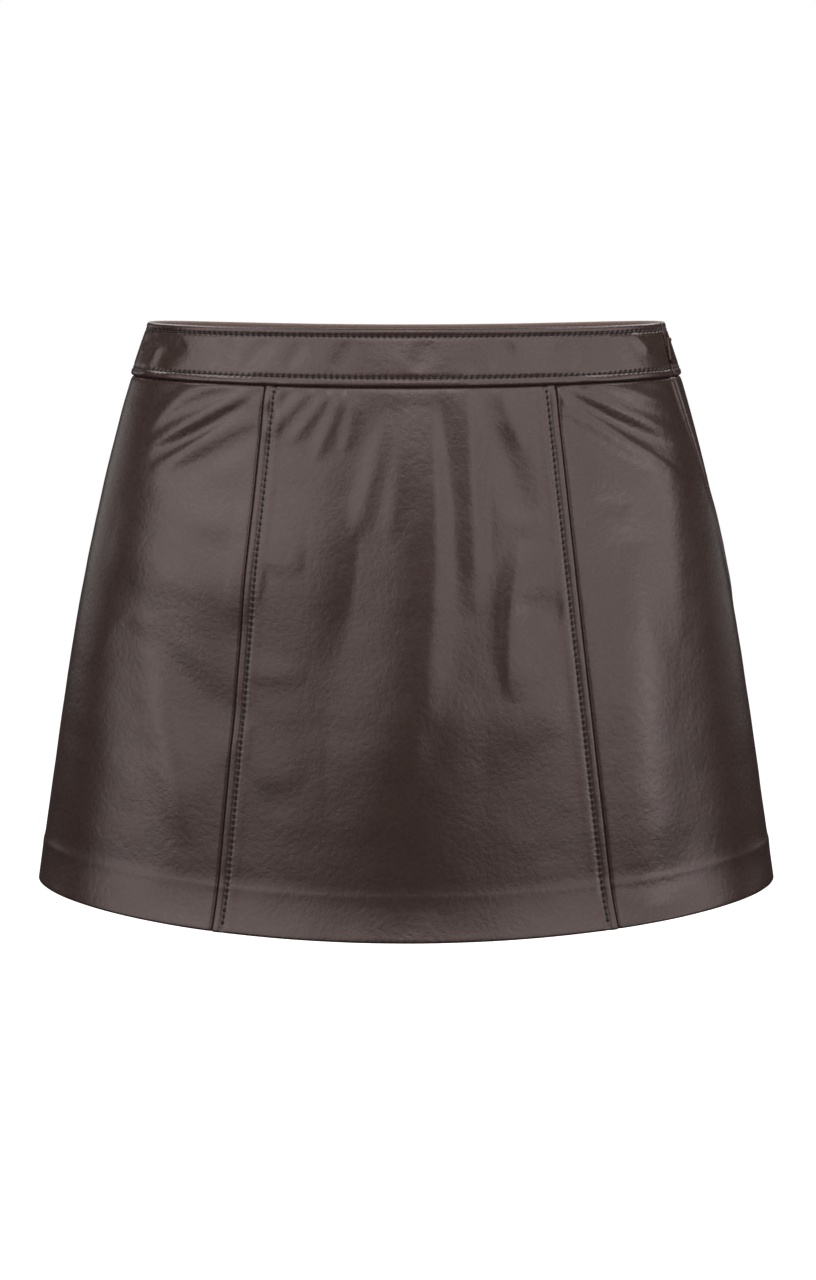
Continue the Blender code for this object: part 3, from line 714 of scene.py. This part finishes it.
def panel_rows():
    """Drops of a panel's rows below its top edge: close at the top, even, close over the hem's relief, then
    the fold."""
    top = MM * np.array([0, 0.15, 0.35, 0.6, 0.9, 1.3, 1.8, 2.5, 3.4])
    last_even = math.floor((PANEL_LENGTH - RELIEF_FROM) / ROW_STEP)
    even = np.arange(math.ceil(top[-1] / ROW_STEP), last_even + 1) * ROW_STEP
    relief = np.linspace(even[-1], PANEL_LENGTH - RELIEF_TO, RELIEF_ROWS)[1:]
    low = np.linspace(relief[-1], PANEL_LENGTH - ROLL, LOW_ROWS)[1:-1]
    fold = PANEL_LENGTH - ROLL + ROLL * np.sin(ROLL_TURNS)
    return np.concatenate([top, even, relief, low, fold])


PANEL_ROWS = panel_rows()


# ---------------------------------------------------------------- the panels
# The cut of what shows of a piece: its greatest width, its length, its area in square metres, and what it
# hangs from.
Cut = namedtuple("Cut", "width length area hangs_from")

# One row for each panel: its piece and its CAD node, the seams and darts from one end to the other, the close
# columns beside each, how many even columns lie between them, the finish of both end seams, and the cut.
Panel = namedtuple("Panel", "name node guides near counts edges cut")
PANELS = (
    Panel(
        "front_centre_leather", "front_centre_panel", (right_front, left_front),
        (STRIP_COLUMNS, STRIP_COLUMNS), (112,), ("strip", "strip"),
        Cut(0.237, 0.322, 0.0660, ("waistband_front_leather",)),
    ),
    Panel(
        "front_right_leather", "front_side_panel_right", (right_side, right_front),
        (SEAM_COLUMNS, SEAM_COLUMNS), (76,), ("side", "plain"),
        Cut(0.158, 0.320, 0.0450, ("waistband_front_leather",)),
    ),
    Panel(
        "front_left_leather", "front_side_panel_left", (left_front, left_side),
        (SEAM_COLUMNS, SEAM_COLUMNS), (66,), ("plain", "zip"),
        Cut(0.148, 0.319, 0.0405, ("waistband_front_leather",)),
    ),
    Panel(
        "back_leather", "back_panel", (left_side, *[dart_turn(dart) for dart in DARTS], behind),
        (SEAM_COLUMNS, DART_COLUMNS, DART_COLUMNS, SEAM_COLUMNS), (42, 45, 42), ("zip", "side"),
        Cut(0.529, 0.317, 0.1505, ("waistband_back_leather",)),
    ),
)

EDGE_CLEARANCE = 0.000002  # on the inside, a sewn edge stops this far short of the middle of its seam
TOP_REACH = 0.00085  # a panel's top edge leans up by this much on the inside, in under the waistband's foot
TOP_REACH_SHARE = 2.0  # and by this many times what the seam allowances add to its thickness
PLAIN_INSIDE_SHARE = 0.6  # how much of a plain edge's sinking its inner face takes part in

# How softly one finish passes into the next, in metres.
HEM_STEP = 0.0006
STRIP_STEP = 0.0003
ALLOWANCE_STEP = 0.0004
ZIP_FOOT_STEP = 0.004
DART_POINT_STEP = 0.003


def hem_profile(turns):
    """How far out a panel's outer face lies and how far in its inner one: the hem's layers, its folded edge,
    the ridge over its top and its slight outward turn."""
    above = PANEL_LENGTH - PANEL_ROWS
    turned = before(above, HEM_TURN, HEM_STEP)
    out = HEM_RELIEF * turned
    inside = SKIN + (HEM_INSIDE - SKIN) * turned
    middle = (HEM_RELIEF - HEM_INSIDE) / 2
    out[-len(ROLL_TURNS) :] = middle + ROLL * np.cos(ROLL_TURNS)
    inside[-len(ROLL_TURNS) :] = ROLL * np.cos(ROLL_TURNS) - middle
    uneven = 0.82 + 0.18 * np.sin(turns * 9 + 1) * np.sin(turns * 23)
    flare = HEM_FLARE * np.clip(1 - above / HEM_TURN, 0, 1) ** 1.5
    away_from_sides = 1 - np.abs(np.sin(turns)) ** 6
    relief = uneven * ridge(above, HEM_SHOW)[:, None] + away_from_sides * flare[:, None]
    return out[:, None] + relief, inside[:, None]


def edge_finish(edge, distance, down, opened):
    """How far a panel's outer face moves beside an end seam, which is a strip, plain, side or zip one. opened
    is 1 where the zip holds the seam and 0 where it is sewn."""
    in_from_edge = distance - SEAM_GAP / 2
    if edge == "strip":
        strip = WELT_PROUD * before(distance, WELT_WIDTH, STRIP_STEP) - rolled(in_from_edge, STRIP_ROLL)
        swells = ridge(distance, STRIP_FOLD) + ridge(distance, STRIP_PUFF)
        return strip + swells + sewn_dimples(distance - WELT_WIDTH, down)
    if edge == "plain":
        return sunk(distance, PLAIN_SINK) - rolled(in_from_edge, PLAIN_ROLL)
    lip = ridge(distance, ZIP_LIP) - rolled(in_from_edge, LIP_ROLL)
    return opened * lip + (1 - opened) * sunk(distance, SIDE_SINK)


def lean_in(turns, distance):
    """The turn by which a sewn edge leans over on the inside, until it all but meets its neighbour."""
    turn_for_each_metre = (turns[:, 1] - turns[:, 0]) / (distance[:, 1] - distance[:, 0])
    return turn_for_each_metre * (SEAM_GAP / 2 - EDGE_CLEARANCE)


def finish_sheet(made, node):
    """The piece stands for its CAD node and moves with the skirt."""
    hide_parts(node)
    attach(made, "skirt")


def make_panel(p):
    """Makes one body panel and returns the points of its outer face."""
    g = grid(p.guides, UPPER_PANEL, HEM_EDGE, PANEL_ROWS, p.near, p.counts)
    down = PANEL_ROWS[:, None]
    out, inside = hem_profile(g.turns)
    out = out + sunk(down, TOP_TUCK)
    under = g.turns.copy()
    for edge, distance, ends in zip(p.edges, (g.from_guides[0], -g.from_guides[-1]), BOTH_ENDS):
        opened = before(down, ZIP_LENGTH - BAND_HEIGHT, ZIP_FOOT_STEP) if edge == "zip" else 0 * down
        out = out + edge_finish(edge, distance, down, opened)
        if edge == "plain":
            inside = inside - PLAIN_INSIDE_SHARE * sunk(distance, PLAIN_SINK)
        inside = inside + ALLOWANCE_THICKNESS * before(distance, ALLOWANCE_WIDTH, ALLOWANCE_STEP)
        under[:, ends[0]] -= (1 - opened[:, 0]) * lean_in(under[:, ends], distance[:, ends])
    sewn = before(down, DART_LENGTH, DART_POINT_STEP)
    for distance in g.from_guides[1:-1]:
        out = out + sewn * (ridge(distance, DART_GROOVE) + ridge(abs(distance), DART_SWELL))
    outer = form(g.turns, g.levels, out)
    reach_up = g.levels.copy()
    reach_up[0] += TOP_REACH + TOP_REACH_SHARE * (inside[0] - SKIN)
    inner = form(under, reach_up, -inside)
    flesh = (PANEL_ROWS[:-1] < PANEL_LENGTH - HEM_TURN).astype(int)
    finish_sheet(wall(p.name, outer, inner, (LEATHER, FLESH), flesh), p.node)
    return outer


# ---------------------------------------------------------------- the waistband
BAND_ROLL = (BAND_PROUD + BAND_INSIDE) / 2  # radius of its folded edges
BAND_TURNS = np.radians([84, 66, 48, 32, 16, 0])
BAND_COLUMNS, BETWEEN_ROWS = 460, 18
BESIDE_STITCH = MM * np.array([-2.3, -1.6, -1.1, -0.7, -0.35, 0, 0.35, 0.7, 1.1, 1.6, 2.3])
ZIP_END_COLUMNS = LIP_ROOM + MM * np.array([0, 0.15, 0.35, 0.6, 0.95, 1.4, 2.0, 2.8, 3.8])

BandHalf = namedtuple("BandHalf", "side guides near cut")
BAND_HALVES = (
    BandHalf(
        "front", (right_side, left_side), (SEAM_COLUMNS, ZIP_END_COLUMNS), Cut(0.372, 0.034, 0.0121, ())
    ),
    BandHalf("back", (left_side, behind), (ZIP_END_COLUMNS, SEAM_COLUMNS), Cut(0.403, 0.034, 0.0128, ())),
)


def band_rows():
    """Drops of the waistband's rows: its folded top, close rows at both rows of stitches and its folded
    foot."""
    fold = BAND_ROLL * (1 - np.sin(BAND_TURNS))
    high = BAND_TOP_STITCH + BESIDE_STITCH
    low = BAND_HEIGHT - BAND_LOW_STITCH + BESIDE_STITCH
    between = np.linspace(high[-1], low[0], BETWEEN_ROWS)[1:-1]
    return np.concatenate([fold, high[high > fold[-1]], between, low, (BAND_HEIGHT - fold)[::-1]])


BAND_ROWS = band_rows()


def make_waistband(half):
    """Makes one half of the waistband: two layers folded over at top and foot, with a groove for each row of
    stitches. Returns the points of its outer face and their distances along it."""
    g = grid(half.guides, TOP_EDGE, BAND_SEAM, BAND_ROWS, half.near, (BAND_COLUMNS,))
    drop = BAND_ROWS[:, None]
    lift = BAND_ROLL - rolled(np.minimum(drop, BAND_HEIGHT - drop), BAND_ROLL)
    middle = (BAND_PROUD - BAND_INSIDE) / 2
    along = g.from_guides[0]
    out = middle + lift + ridge(drop, BAND_TOP_SWELL) + ridge(drop, BAND_FOOT_SWELL)
    for row in (BAND_TOP_STITCH, BAND_HEIGHT - BAND_LOW_STITCH):
        out = out + sewn_dimples(drop - row, along)
    under = g.turns.copy()
    for distance, ends in zip((along, -g.from_guides[-1]), BOTH_ENDS):
        out = out - rolled(distance - distance.min(), BAND_END_ROLL)
        if distance.min() < LIP_ROOM / 2:
            under[:, ends[0]] -= lean_in(under[:, ends], distance[:, ends])
    outer = form(g.turns, g.levels, out)
    inner = form(under, g.levels, middle - lift)
    all_flesh = np.ones(len(BAND_ROWS) - 1, int)
    made = wall(f"waistband_{half.side}_leather", outer, inner, (LEATHER, FLESH), all_flesh)
    finish_sheet(made, f"waistband_{half.side}")
    return outer, along


# ---------------------------------------------------------------- sewing
THREAD_RADIUS = 0.00030
THREAD_LENGTH = 0.56 * STITCH_PITCH
THREAD_HEIGHT = 0.00020  # the middle of a stitch, above the leather
THREAD_DIP = 0.00052  # its ends lie this much lower
THREAD_POINTS, THREAD_SIDES = 9, 6
# Each needle hole gets a low dome coloured with painted shade, for the shade in the hole and its dimple.
HOLE_RADIUS = 0.00115
HOLE_RING = 0.55  # a share of that radius
HOLE_HEIGHTS = (0.00030, 0.00050, 0.00054)  # its rim, its ring and its tip, above the leather
HOLE_SIDES = 8
SEAM_STITCH_START, SEAM_STITCH_END = 0.0005, 0.0030  # from a panel's top edge, and from its hem
BAND_STITCH_ROOM = 0.003  # from each end of the waistband


def stitch_shape():
    """One stitch: a thread that rises out of one hole, lies on the leather and dips into the next."""
    x = np.linspace(-0.5, 0.5, THREAD_POINTS) * THREAD_LENGTH
    height = THREAD_HEIGHT - THREAD_DIP * np.abs(2 * x / THREAD_LENGTH) ** 3
    return tube_rings(np.stack([x, 0 * x, height], -1), np.full(THREAD_POINTS, THREAD_RADIUS), THREAD_SIDES)


def hole_shape():
    """A needle hole: a low dome that stands in its dimple and carries the hole's painted shade. Its points,
    its quads and its triangles.
    """
    turn = np.linspace(0, 2 * math.pi, HOLE_SIDES, endpoint=False)
    rim = np.stack([np.cos(turn), np.sin(turn), 0 * turn], -1) * HOLE_RADIUS
    low, high, tip = HOLE_HEIGHTS
    points = np.concatenate([rim + [0, 0, low], rim * HOLE_RING + [0, 0, high], [[0, 0, tip]]])
    at = np.arange(HOLE_SIDES)
    after = np.roll(at, -1)
    quads = np.stack([at, after, after + HOLE_SIDES, at + HOLE_SIDES], -1)
    tips = np.stack([at + HOLE_SIDES, after + HOLE_SIDES, np.full(HOLE_SIDES, 2 * HOLE_SIDES)], -1)
    return points, quads, tips


def unit(vectors):
    return vectors / np.linalg.norm(vectors, axis=-1, keepdims=True)


def read_along(points, along, at):
    """The points of a line, read at the given distances along it."""
    return np.stack([np.interp(at, along, points[:, i]) for i in range(3)], -1)


def places_along(points, normals, along, at):
    """Matrices at the given distances along a line on the leather: X along it and Z out."""
    heading = unit(read_along(np.gradient(points, along, axis=0), along, at))
    side = unit(np.cross(read_along(normals, along, at), heading))
    places = np.zeros((len(at), 4, 4))
    places[:, :3, 0], places[:, :3, 1], places[:, :3, 2] = heading, side, np.cross(heading, side)
    places[:, :3, 3], places[:, 3, 3] = read_along(points, along, at), 1
    return places


def sew(name, points, normals, along, start, end):
    """A row of stitches on a line of the leather, with a dome of painted shade at each needle hole."""
    holes = np.arange(math.ceil(start / STITCH_PITCH), math.floor(end / STITCH_PITCH) + 1) * STITCH_PITCH
    hole_places = places_along(points, normals, along, holes)
    stitch_places = places_along(points, normals, along, holes[:-1] + STITCH_PITCH / 2)
    stitch_points, stitch_faces = repeated(*stitch_shape(), stitch_places)
    shape, quads, tips = hole_shape()
    hole_points, hole_quads = repeated(shape, quads, hole_places)
    _, hole_tips = repeated(shape, tips, hole_places)
    shift = len(stitch_points)
    faces = stitch_faces.tolist() + (hole_quads + shift).tolist() + (hole_tips + shift).tolist()
    # the faces past the threads belong to the hole domes, which take the painted shade
    indices = np.arange(len(faces)) >= len(stitch_faces)
    all_points = np.concatenate([stitch_points, hole_points])
    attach(mesh_object(name, all_points, faces, (THREAD, HOLE_SHADE), indices, smooth_angle=180), "skirt")


def line_normals(points, beside):
    """Normals of the leather along a line of its grid, from the lines before and after it."""
    normals = unit(np.cross(np.gradient(points, axis=0), beside[1] - beside[0]))
    return normals * np.sign(np.sum(normals * points * [1, 1, 0], axis=1).mean())


def sew_column(name, outer, at):
    """Stitches down a column of a panel."""
    normals = line_normals(outer[:, at], (outer[:, at - 2], outer[:, at + 2]))
    sew(name, outer[:, at], normals, PANEL_ROWS, SEAM_STITCH_START, PANEL_LENGTH - SEAM_STITCH_END)


def sew_row(name, outer, along, at):
    """Stitches along a row of the waistband."""
    normals = line_normals(outer[at], (outer[at - 2], outer[at + 2]))
    sew(name, outer[at], normals, along[at], BAND_STITCH_ROOM, along[at][-1] - BAND_STITCH_ROOM)


# ---------------------------------------------------------------- the zip
TAPE_WIDTH = 0.0110
TAPE_OUTSIDE = 0.0020  # the tape lies this far behind the leather's face
TAPE_THICKNESS = 0.0007
TAPE_SHORT = 0.0006  # its top end, below the waistband's top edge
TAPE_ROWS, TAPE_COLUMNS = 140, 10
LIP_FADE = 0.0120  # height over which the tapes close up below the waistband
COIL_PITCH = 0.0013
COIL_HALF_WIDTH = 0.00095
COIL_HALF_DEPTH = 0.00050
COIL_DEPTH = 0.0033  # the coil's middle behind the leather's face
COIL_THREAD = 0.00026
COIL_POINTS = 10  # in each turn
METAL_EDGES = {"zip_slider": 0.00012, "zip_pull": 0.00015}  # the radius that tumbling leaves on their edges
CORNER_ANGLE = 40  # in degrees: sharper edges than this are rounded


def zip_seat(z, towards, walk):
    """The turn that lies walk metres to one side of the zip's middle: -1 in front and +1 behind."""
    step = 1e-3
    middle = left_side(z)
    speed = np.linalg.norm(oval(middle + step, z) - oval(middle - step, z), axis=-1) / (2 * step)
    room = np.interp(z, [BAND_SEAM.side_z - LIP_FADE, BAND_SEAM.side_z], [SEAM_GAP / 2, LIP_ROOM])
    return middle + towards * (room + walk) / speed


def zip_half(side, towards):
    """Half of the zip: a woven tape with its nylon coil along the edge."""
    z = np.linspace(TOP_EDGE.side_z - TAPE_SHORT, TOP_EDGE.side_z - ZIP_LENGTH, TAPE_ROWS)
    walks = np.linspace(0, TAPE_WIDTH, TAPE_COLUMNS)[::towards]
    turns = np.stack([zip_seat(z, towards, w) for w in walks], -1)
    depths = (TAPE_OUTSIDE, TAPE_OUTSIDE + TAPE_THICKNESS)
    outer, inner = (form(turns, z[:, None], -depth) for depth in depths)
    tape = wall(f"zip_tape_{side}_woven", outer, inner, (TAPE, TAPE), np.zeros(TAPE_ROWS - 1, int))
    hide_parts(f"zip_tape_{side}")
    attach(tape, "skirt")
    zip_coil(f"zip_tape_{side}_woven_coil", towards, z[0], z[-1])


def zip_coil(name, towards, top, foot):
    """The nylon coil along a tape's edge. The two halves' turns lie half a pitch apart."""
    count = int((top - foot) / COIL_PITCH * COIL_POINTS)
    z = top - np.arange(count) * COIL_PITCH / COIL_POINTS
    phase = np.arange(count) * 2 * math.pi / COIL_POINTS + (0 if towards > 0 else math.pi)
    turns = zip_seat(z, towards, COIL_HALF_WIDTH + COIL_THREAD - COIL_HALF_WIDTH * np.cos(phase))
    path = form(turns, z, -COIL_DEPTH - COIL_HALF_DEPTH * np.sin(phase))
    curve = bpy.data.curves.new(name, "CURVE")
    curve.dimensions = "3D"
    curve.bevel_depth = COIL_THREAD
    curve.bevel_resolution = 0
    curve.use_fill_caps = True
    spline = curve.splines.new("POLY")
    spline.points.add(len(path) - 1)
    spline.points.foreach_set("co", np.concatenate([path, np.ones((len(path), 1))], 1).ravel())
    curve.materials.append(COIL)
    coil = bpy.data.objects.new(name, curve)
    bpy.context.scene.collection.objects.link(coil)
    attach(coil, "skirt")


def finish_metal(node, edge_radius):
    """The CAD's slider or pull takes its lacquer and softly rounded edges."""
    metal = frame["nodes"][node]
    metal.data.materials.clear()
    metal.data.materials.append(METAL)
    rounding = metal.modifiers.new("cast_edges", "BEVEL")
    rounding.width = edge_radius
    rounding.segments = 2
    rounding.limit_method = "ANGLE"
    rounding.angle_limit = math.radians(CORNER_ANGLE)


# ---------------------------------------------------------------- studio
# Softboxes round the skirt: azimuth from the front towards +X and elevation, in degrees, then distance, width
# and height in metres, and brightness. The overhead and front ones light its front, the fill, bank and side
# ones the panels as they turn away, and the fold ones the drag lines' upper flanks. The strip, edge, rim and
# side_high ones draw the highlights at both sides, and the back and high ones light it from behind.
Softbox = namedtuple("Softbox", "name azimuth elevation distance width height brightness")
SOFTBOXES = (
    Softbox("overhead", 0, 52, 2.2, 3.4, 1.7, 2.2),
    Softbox("front", 0, 32, 2.4, 0.9, 1.35, 3.2),
    Softbox("front_right", 26, 20, 2.4, 1.5, 1.3, 2.15),
    Softbox("front_left", -28, 19, 2.4, 1.7, 1.3, 2.3),
    Softbox("fill_right", 28, 1, 4.5, 2.6, 1.3, 2.05),
    Softbox("fill_left", -27, 1, 4.5, 2.5, 1.3, 1.75),
    Softbox("bank_right", 57, 17, 2.2, 1.25, 1.1, 1.5),
    Softbox("bank_left", -56, 17, 2.2, 1.25, 1.1, 2.0),
    Softbox("side_right", 53, 1, 4.5, 2.6, 1.4, 3.7),
    Softbox("side_left", -55, 1, 4.5, 2.2, 1.4, 2.7),
    Softbox("strip_right", 70, 8, 2.2, 0.4, 2.0, 1.6),
    Softbox("strip_left", -70, 8, 2.2, 0.4, 2.0, 1.6),
    Softbox("edge_right", 77, 16, 2.2, 0.6, 0.9, 2.0),
    Softbox("rim_right", 118, 1, 2.2, 2.2, 0.4, 0.5),
    Softbox("rim_left", -120, 6, 2.2, 2.2, 0.7, 0.7),
    Softbox("fold_right", 50, 30, 2.4, 1.8, 0.75, 1.6),
    Softbox("fold_left", -50, 30, 2.4, 1.8, 0.75, 2.2),
    Softbox("side_high_right", 88, 60, 2.2, 1.6, 1.0, 5.0),
    Softbox("side_high_left", -88, 60, 2.2, 1.6, 1.0, 5.0),
    Softbox("back", 180, 26, 2.4, 2.6, 1.3, 1.6),
    Softbox("high_right", 135, 44, 2.2, 1.5, 1.1, 5.0),
    Softbox("high_left", -135, 44, 2.2, 1.5, 1.1, 5.5),
)
AIM = np.array([0.0, 0.0, -0.15])  # the middle of the skirt, which every box faces
MIDDLE_SHARE = 0.7  # a box has its full brightness where its fading is at least this share of the peak
PRODUCT_PEAK = 1 / 16  # of x (1 - x) y (1 - y), in the middle of a box
FLOOR_LEVEL = -0.95
PAPER_HALF = 6.0
ROOM_LIGHT = 0.035
CAMERA_PLACE = (0.0011, -2.0, 0.11)
CAMERA_TILT = 8.15  # degrees below level
CAMERA_LENS = 93.9  # millimetres
SENSOR_WIDTH = 36.0  # millimetres


def fade_out(light):
    """The light is strongest in its middle and fades towards its edges, as a diffusing cloth does."""
    light.use_nodes = True
    tree = light.node_tree
    at = tree.nodes.new("ShaderNodeNewGeometry").outputs["Parametric"]
    split = add(tree, "ShaderNodeSeparateXYZ", {}, {0: at})
    shares = []
    for side in ("X", "Y"):
        far = add(tree, "ShaderNodeMath", {"operation": "SUBTRACT"}, {0: 1.0, 1: split.outputs[side]})
        both = add(
            tree, "ShaderNodeMath", {"operation": "MULTIPLY"}, {0: split.outputs[side], 1: far.outputs[0]}
        )
        shares.append(both.outputs[0])
    product = add(tree, "ShaderNodeMath", {"operation": "MULTIPLY"}, {0: shares[0], 1: shares[1]})
    soft = add(
        tree, "ShaderNodeMapRange", {"interpolation_type": "SMOOTHSTEP"},
        {"Value": product.outputs[0], "From Min": 0.0, "From Max": MIDDLE_SHARE * PRODUCT_PEAK},
    )
    tree.links.new(soft.outputs[0], tree.nodes["Emission"].inputs["Strength"])


def softbox(box):
    """One softbox, facing the skirt and out of the camera's sight."""
    light = bpy.data.lights.new(box.name, "AREA")
    light.shape = "RECTANGLE"
    light.size, light.size_y = box.width, box.height
    light.energy = box.brightness * math.pi * box.width * box.height
    fade_out(light)
    made = bpy.data.objects.new(box.name, light)
    a, e = math.radians(box.azimuth), math.radians(box.elevation)
    away = np.array([math.sin(a) * math.cos(e), -math.cos(a) * math.cos(e), math.sin(e)])
    made.location = AIM + away * box.distance
    made.rotation_mode = "XYZ"
    made.rotation_euler = (math.pi / 2 - e, 0, a)
    made.visible_camera = False
    bpy.context.scene.collection.objects.link(made)


def white_room():
    """A plain white room: bright behind the skirt, and a low even light on it."""
    world = bpy.data.worlds.new("white_room")
    bpy.context.scene.world = world
    world.use_nodes = True
    tree = world.node_tree
    tree.nodes.clear()
    seen = add(tree, "ShaderNodeLightPath", {}, {}).outputs["Is Camera Ray"]
    low = add(tree, "ShaderNodeBackground", {}, {"Color": linear("#ffffff"), "Strength": ROOM_LIGHT})
    white = add(tree, "ShaderNodeBackground", {}, {"Color": linear("#ffffff"), "Strength": 1.0})
    mix = add(tree, "ShaderNodeMixShader", {}, {0: seen, 1: low.outputs[0], 2: white.outputs[0]})
    add(tree, "ShaderNodeOutputWorld", {}, {"Surface": mix.outputs[0]})


def paper_floor():
    """Seamless white paper, rolled out far below the hem."""
    material, tree, _ = new_material("white_seamless_paper")
    shader = add(
        tree, "ShaderNodeBsdfPrincipled", {},
        {
            "Base Color": linear("#f4f4f2"),
            "Roughness": 0.9,
            "Emission Color": linear("#ffffff"),
            "Emission Strength": 1.0,
        },
    )
    add(tree, "ShaderNodeOutputMaterial", {}, {"Surface": shader.outputs[0]})
    signs = ((-1, -1), (1, -1), (1, 1), (-1, 1))
    corners = [(x * PAPER_HALF, y * PAPER_HALF, FLOOR_LEVEL) for x, y in signs]
    floor = mesh_object("paper_floor", corners, [(0, 1, 2, 3)], [material])
    floor.visible_diffuse = False
    floor.visible_glossy = False


def set_camera():
    """A long lens in front of the skirt and a little above it, looking slightly down."""
    camera = bpy.data.cameras.new("front_camera")
    camera.lens = CAMERA_LENS
    camera.sensor_width = SENSOR_WIDTH
    made = bpy.data.objects.new("front_camera", camera)
    made.location = CAMERA_PLACE
    made.rotation_euler = (math.radians(90 - CAMERA_TILT), 0, 0)
    bpy.context.scene.collection.objects.link(made)
    bpy.context.scene.camera = made


# ---------------------------------------------------------------- the whole skirt
def make_skirt():
    """Every piece of the skirt, with its stitches on it."""
    outer_faces = {p.name: make_panel(p) for p in PANELS}
    centre = outer_faces["front_centre_leather"]
    sew_column("stitches_right_front_seam", centre, STRIP_STITCH)
    sew_column("stitches_left_front_seam", centre, centre.shape[1] - 1 - STRIP_STITCH)
    high = int(np.argmin(abs(BAND_ROWS - BAND_TOP_STITCH)))
    low = int(np.argmin(abs(BAND_ROWS - BAND_HEIGHT + BAND_LOW_STITCH)))
    for half in BAND_HALVES:
        outer, along = make_waistband(half)
        sew_row(f"stitches_waistband_{half.side}_top", outer, along, high)
        sew_row(f"stitches_waistband_{half.side}_foot", outer, along, low)
    zip_half("front", -1)
    zip_half("back", 1)
    for node, edge_radius in METAL_EDGES.items():
        finish_metal(node, edge_radius)


make_skirt()
for box in SOFTBOXES:
    softbox(box)
white_room()
paper_floor()
set_camera()
bpy.context.scene.view_settings.view_transform = "Standard"
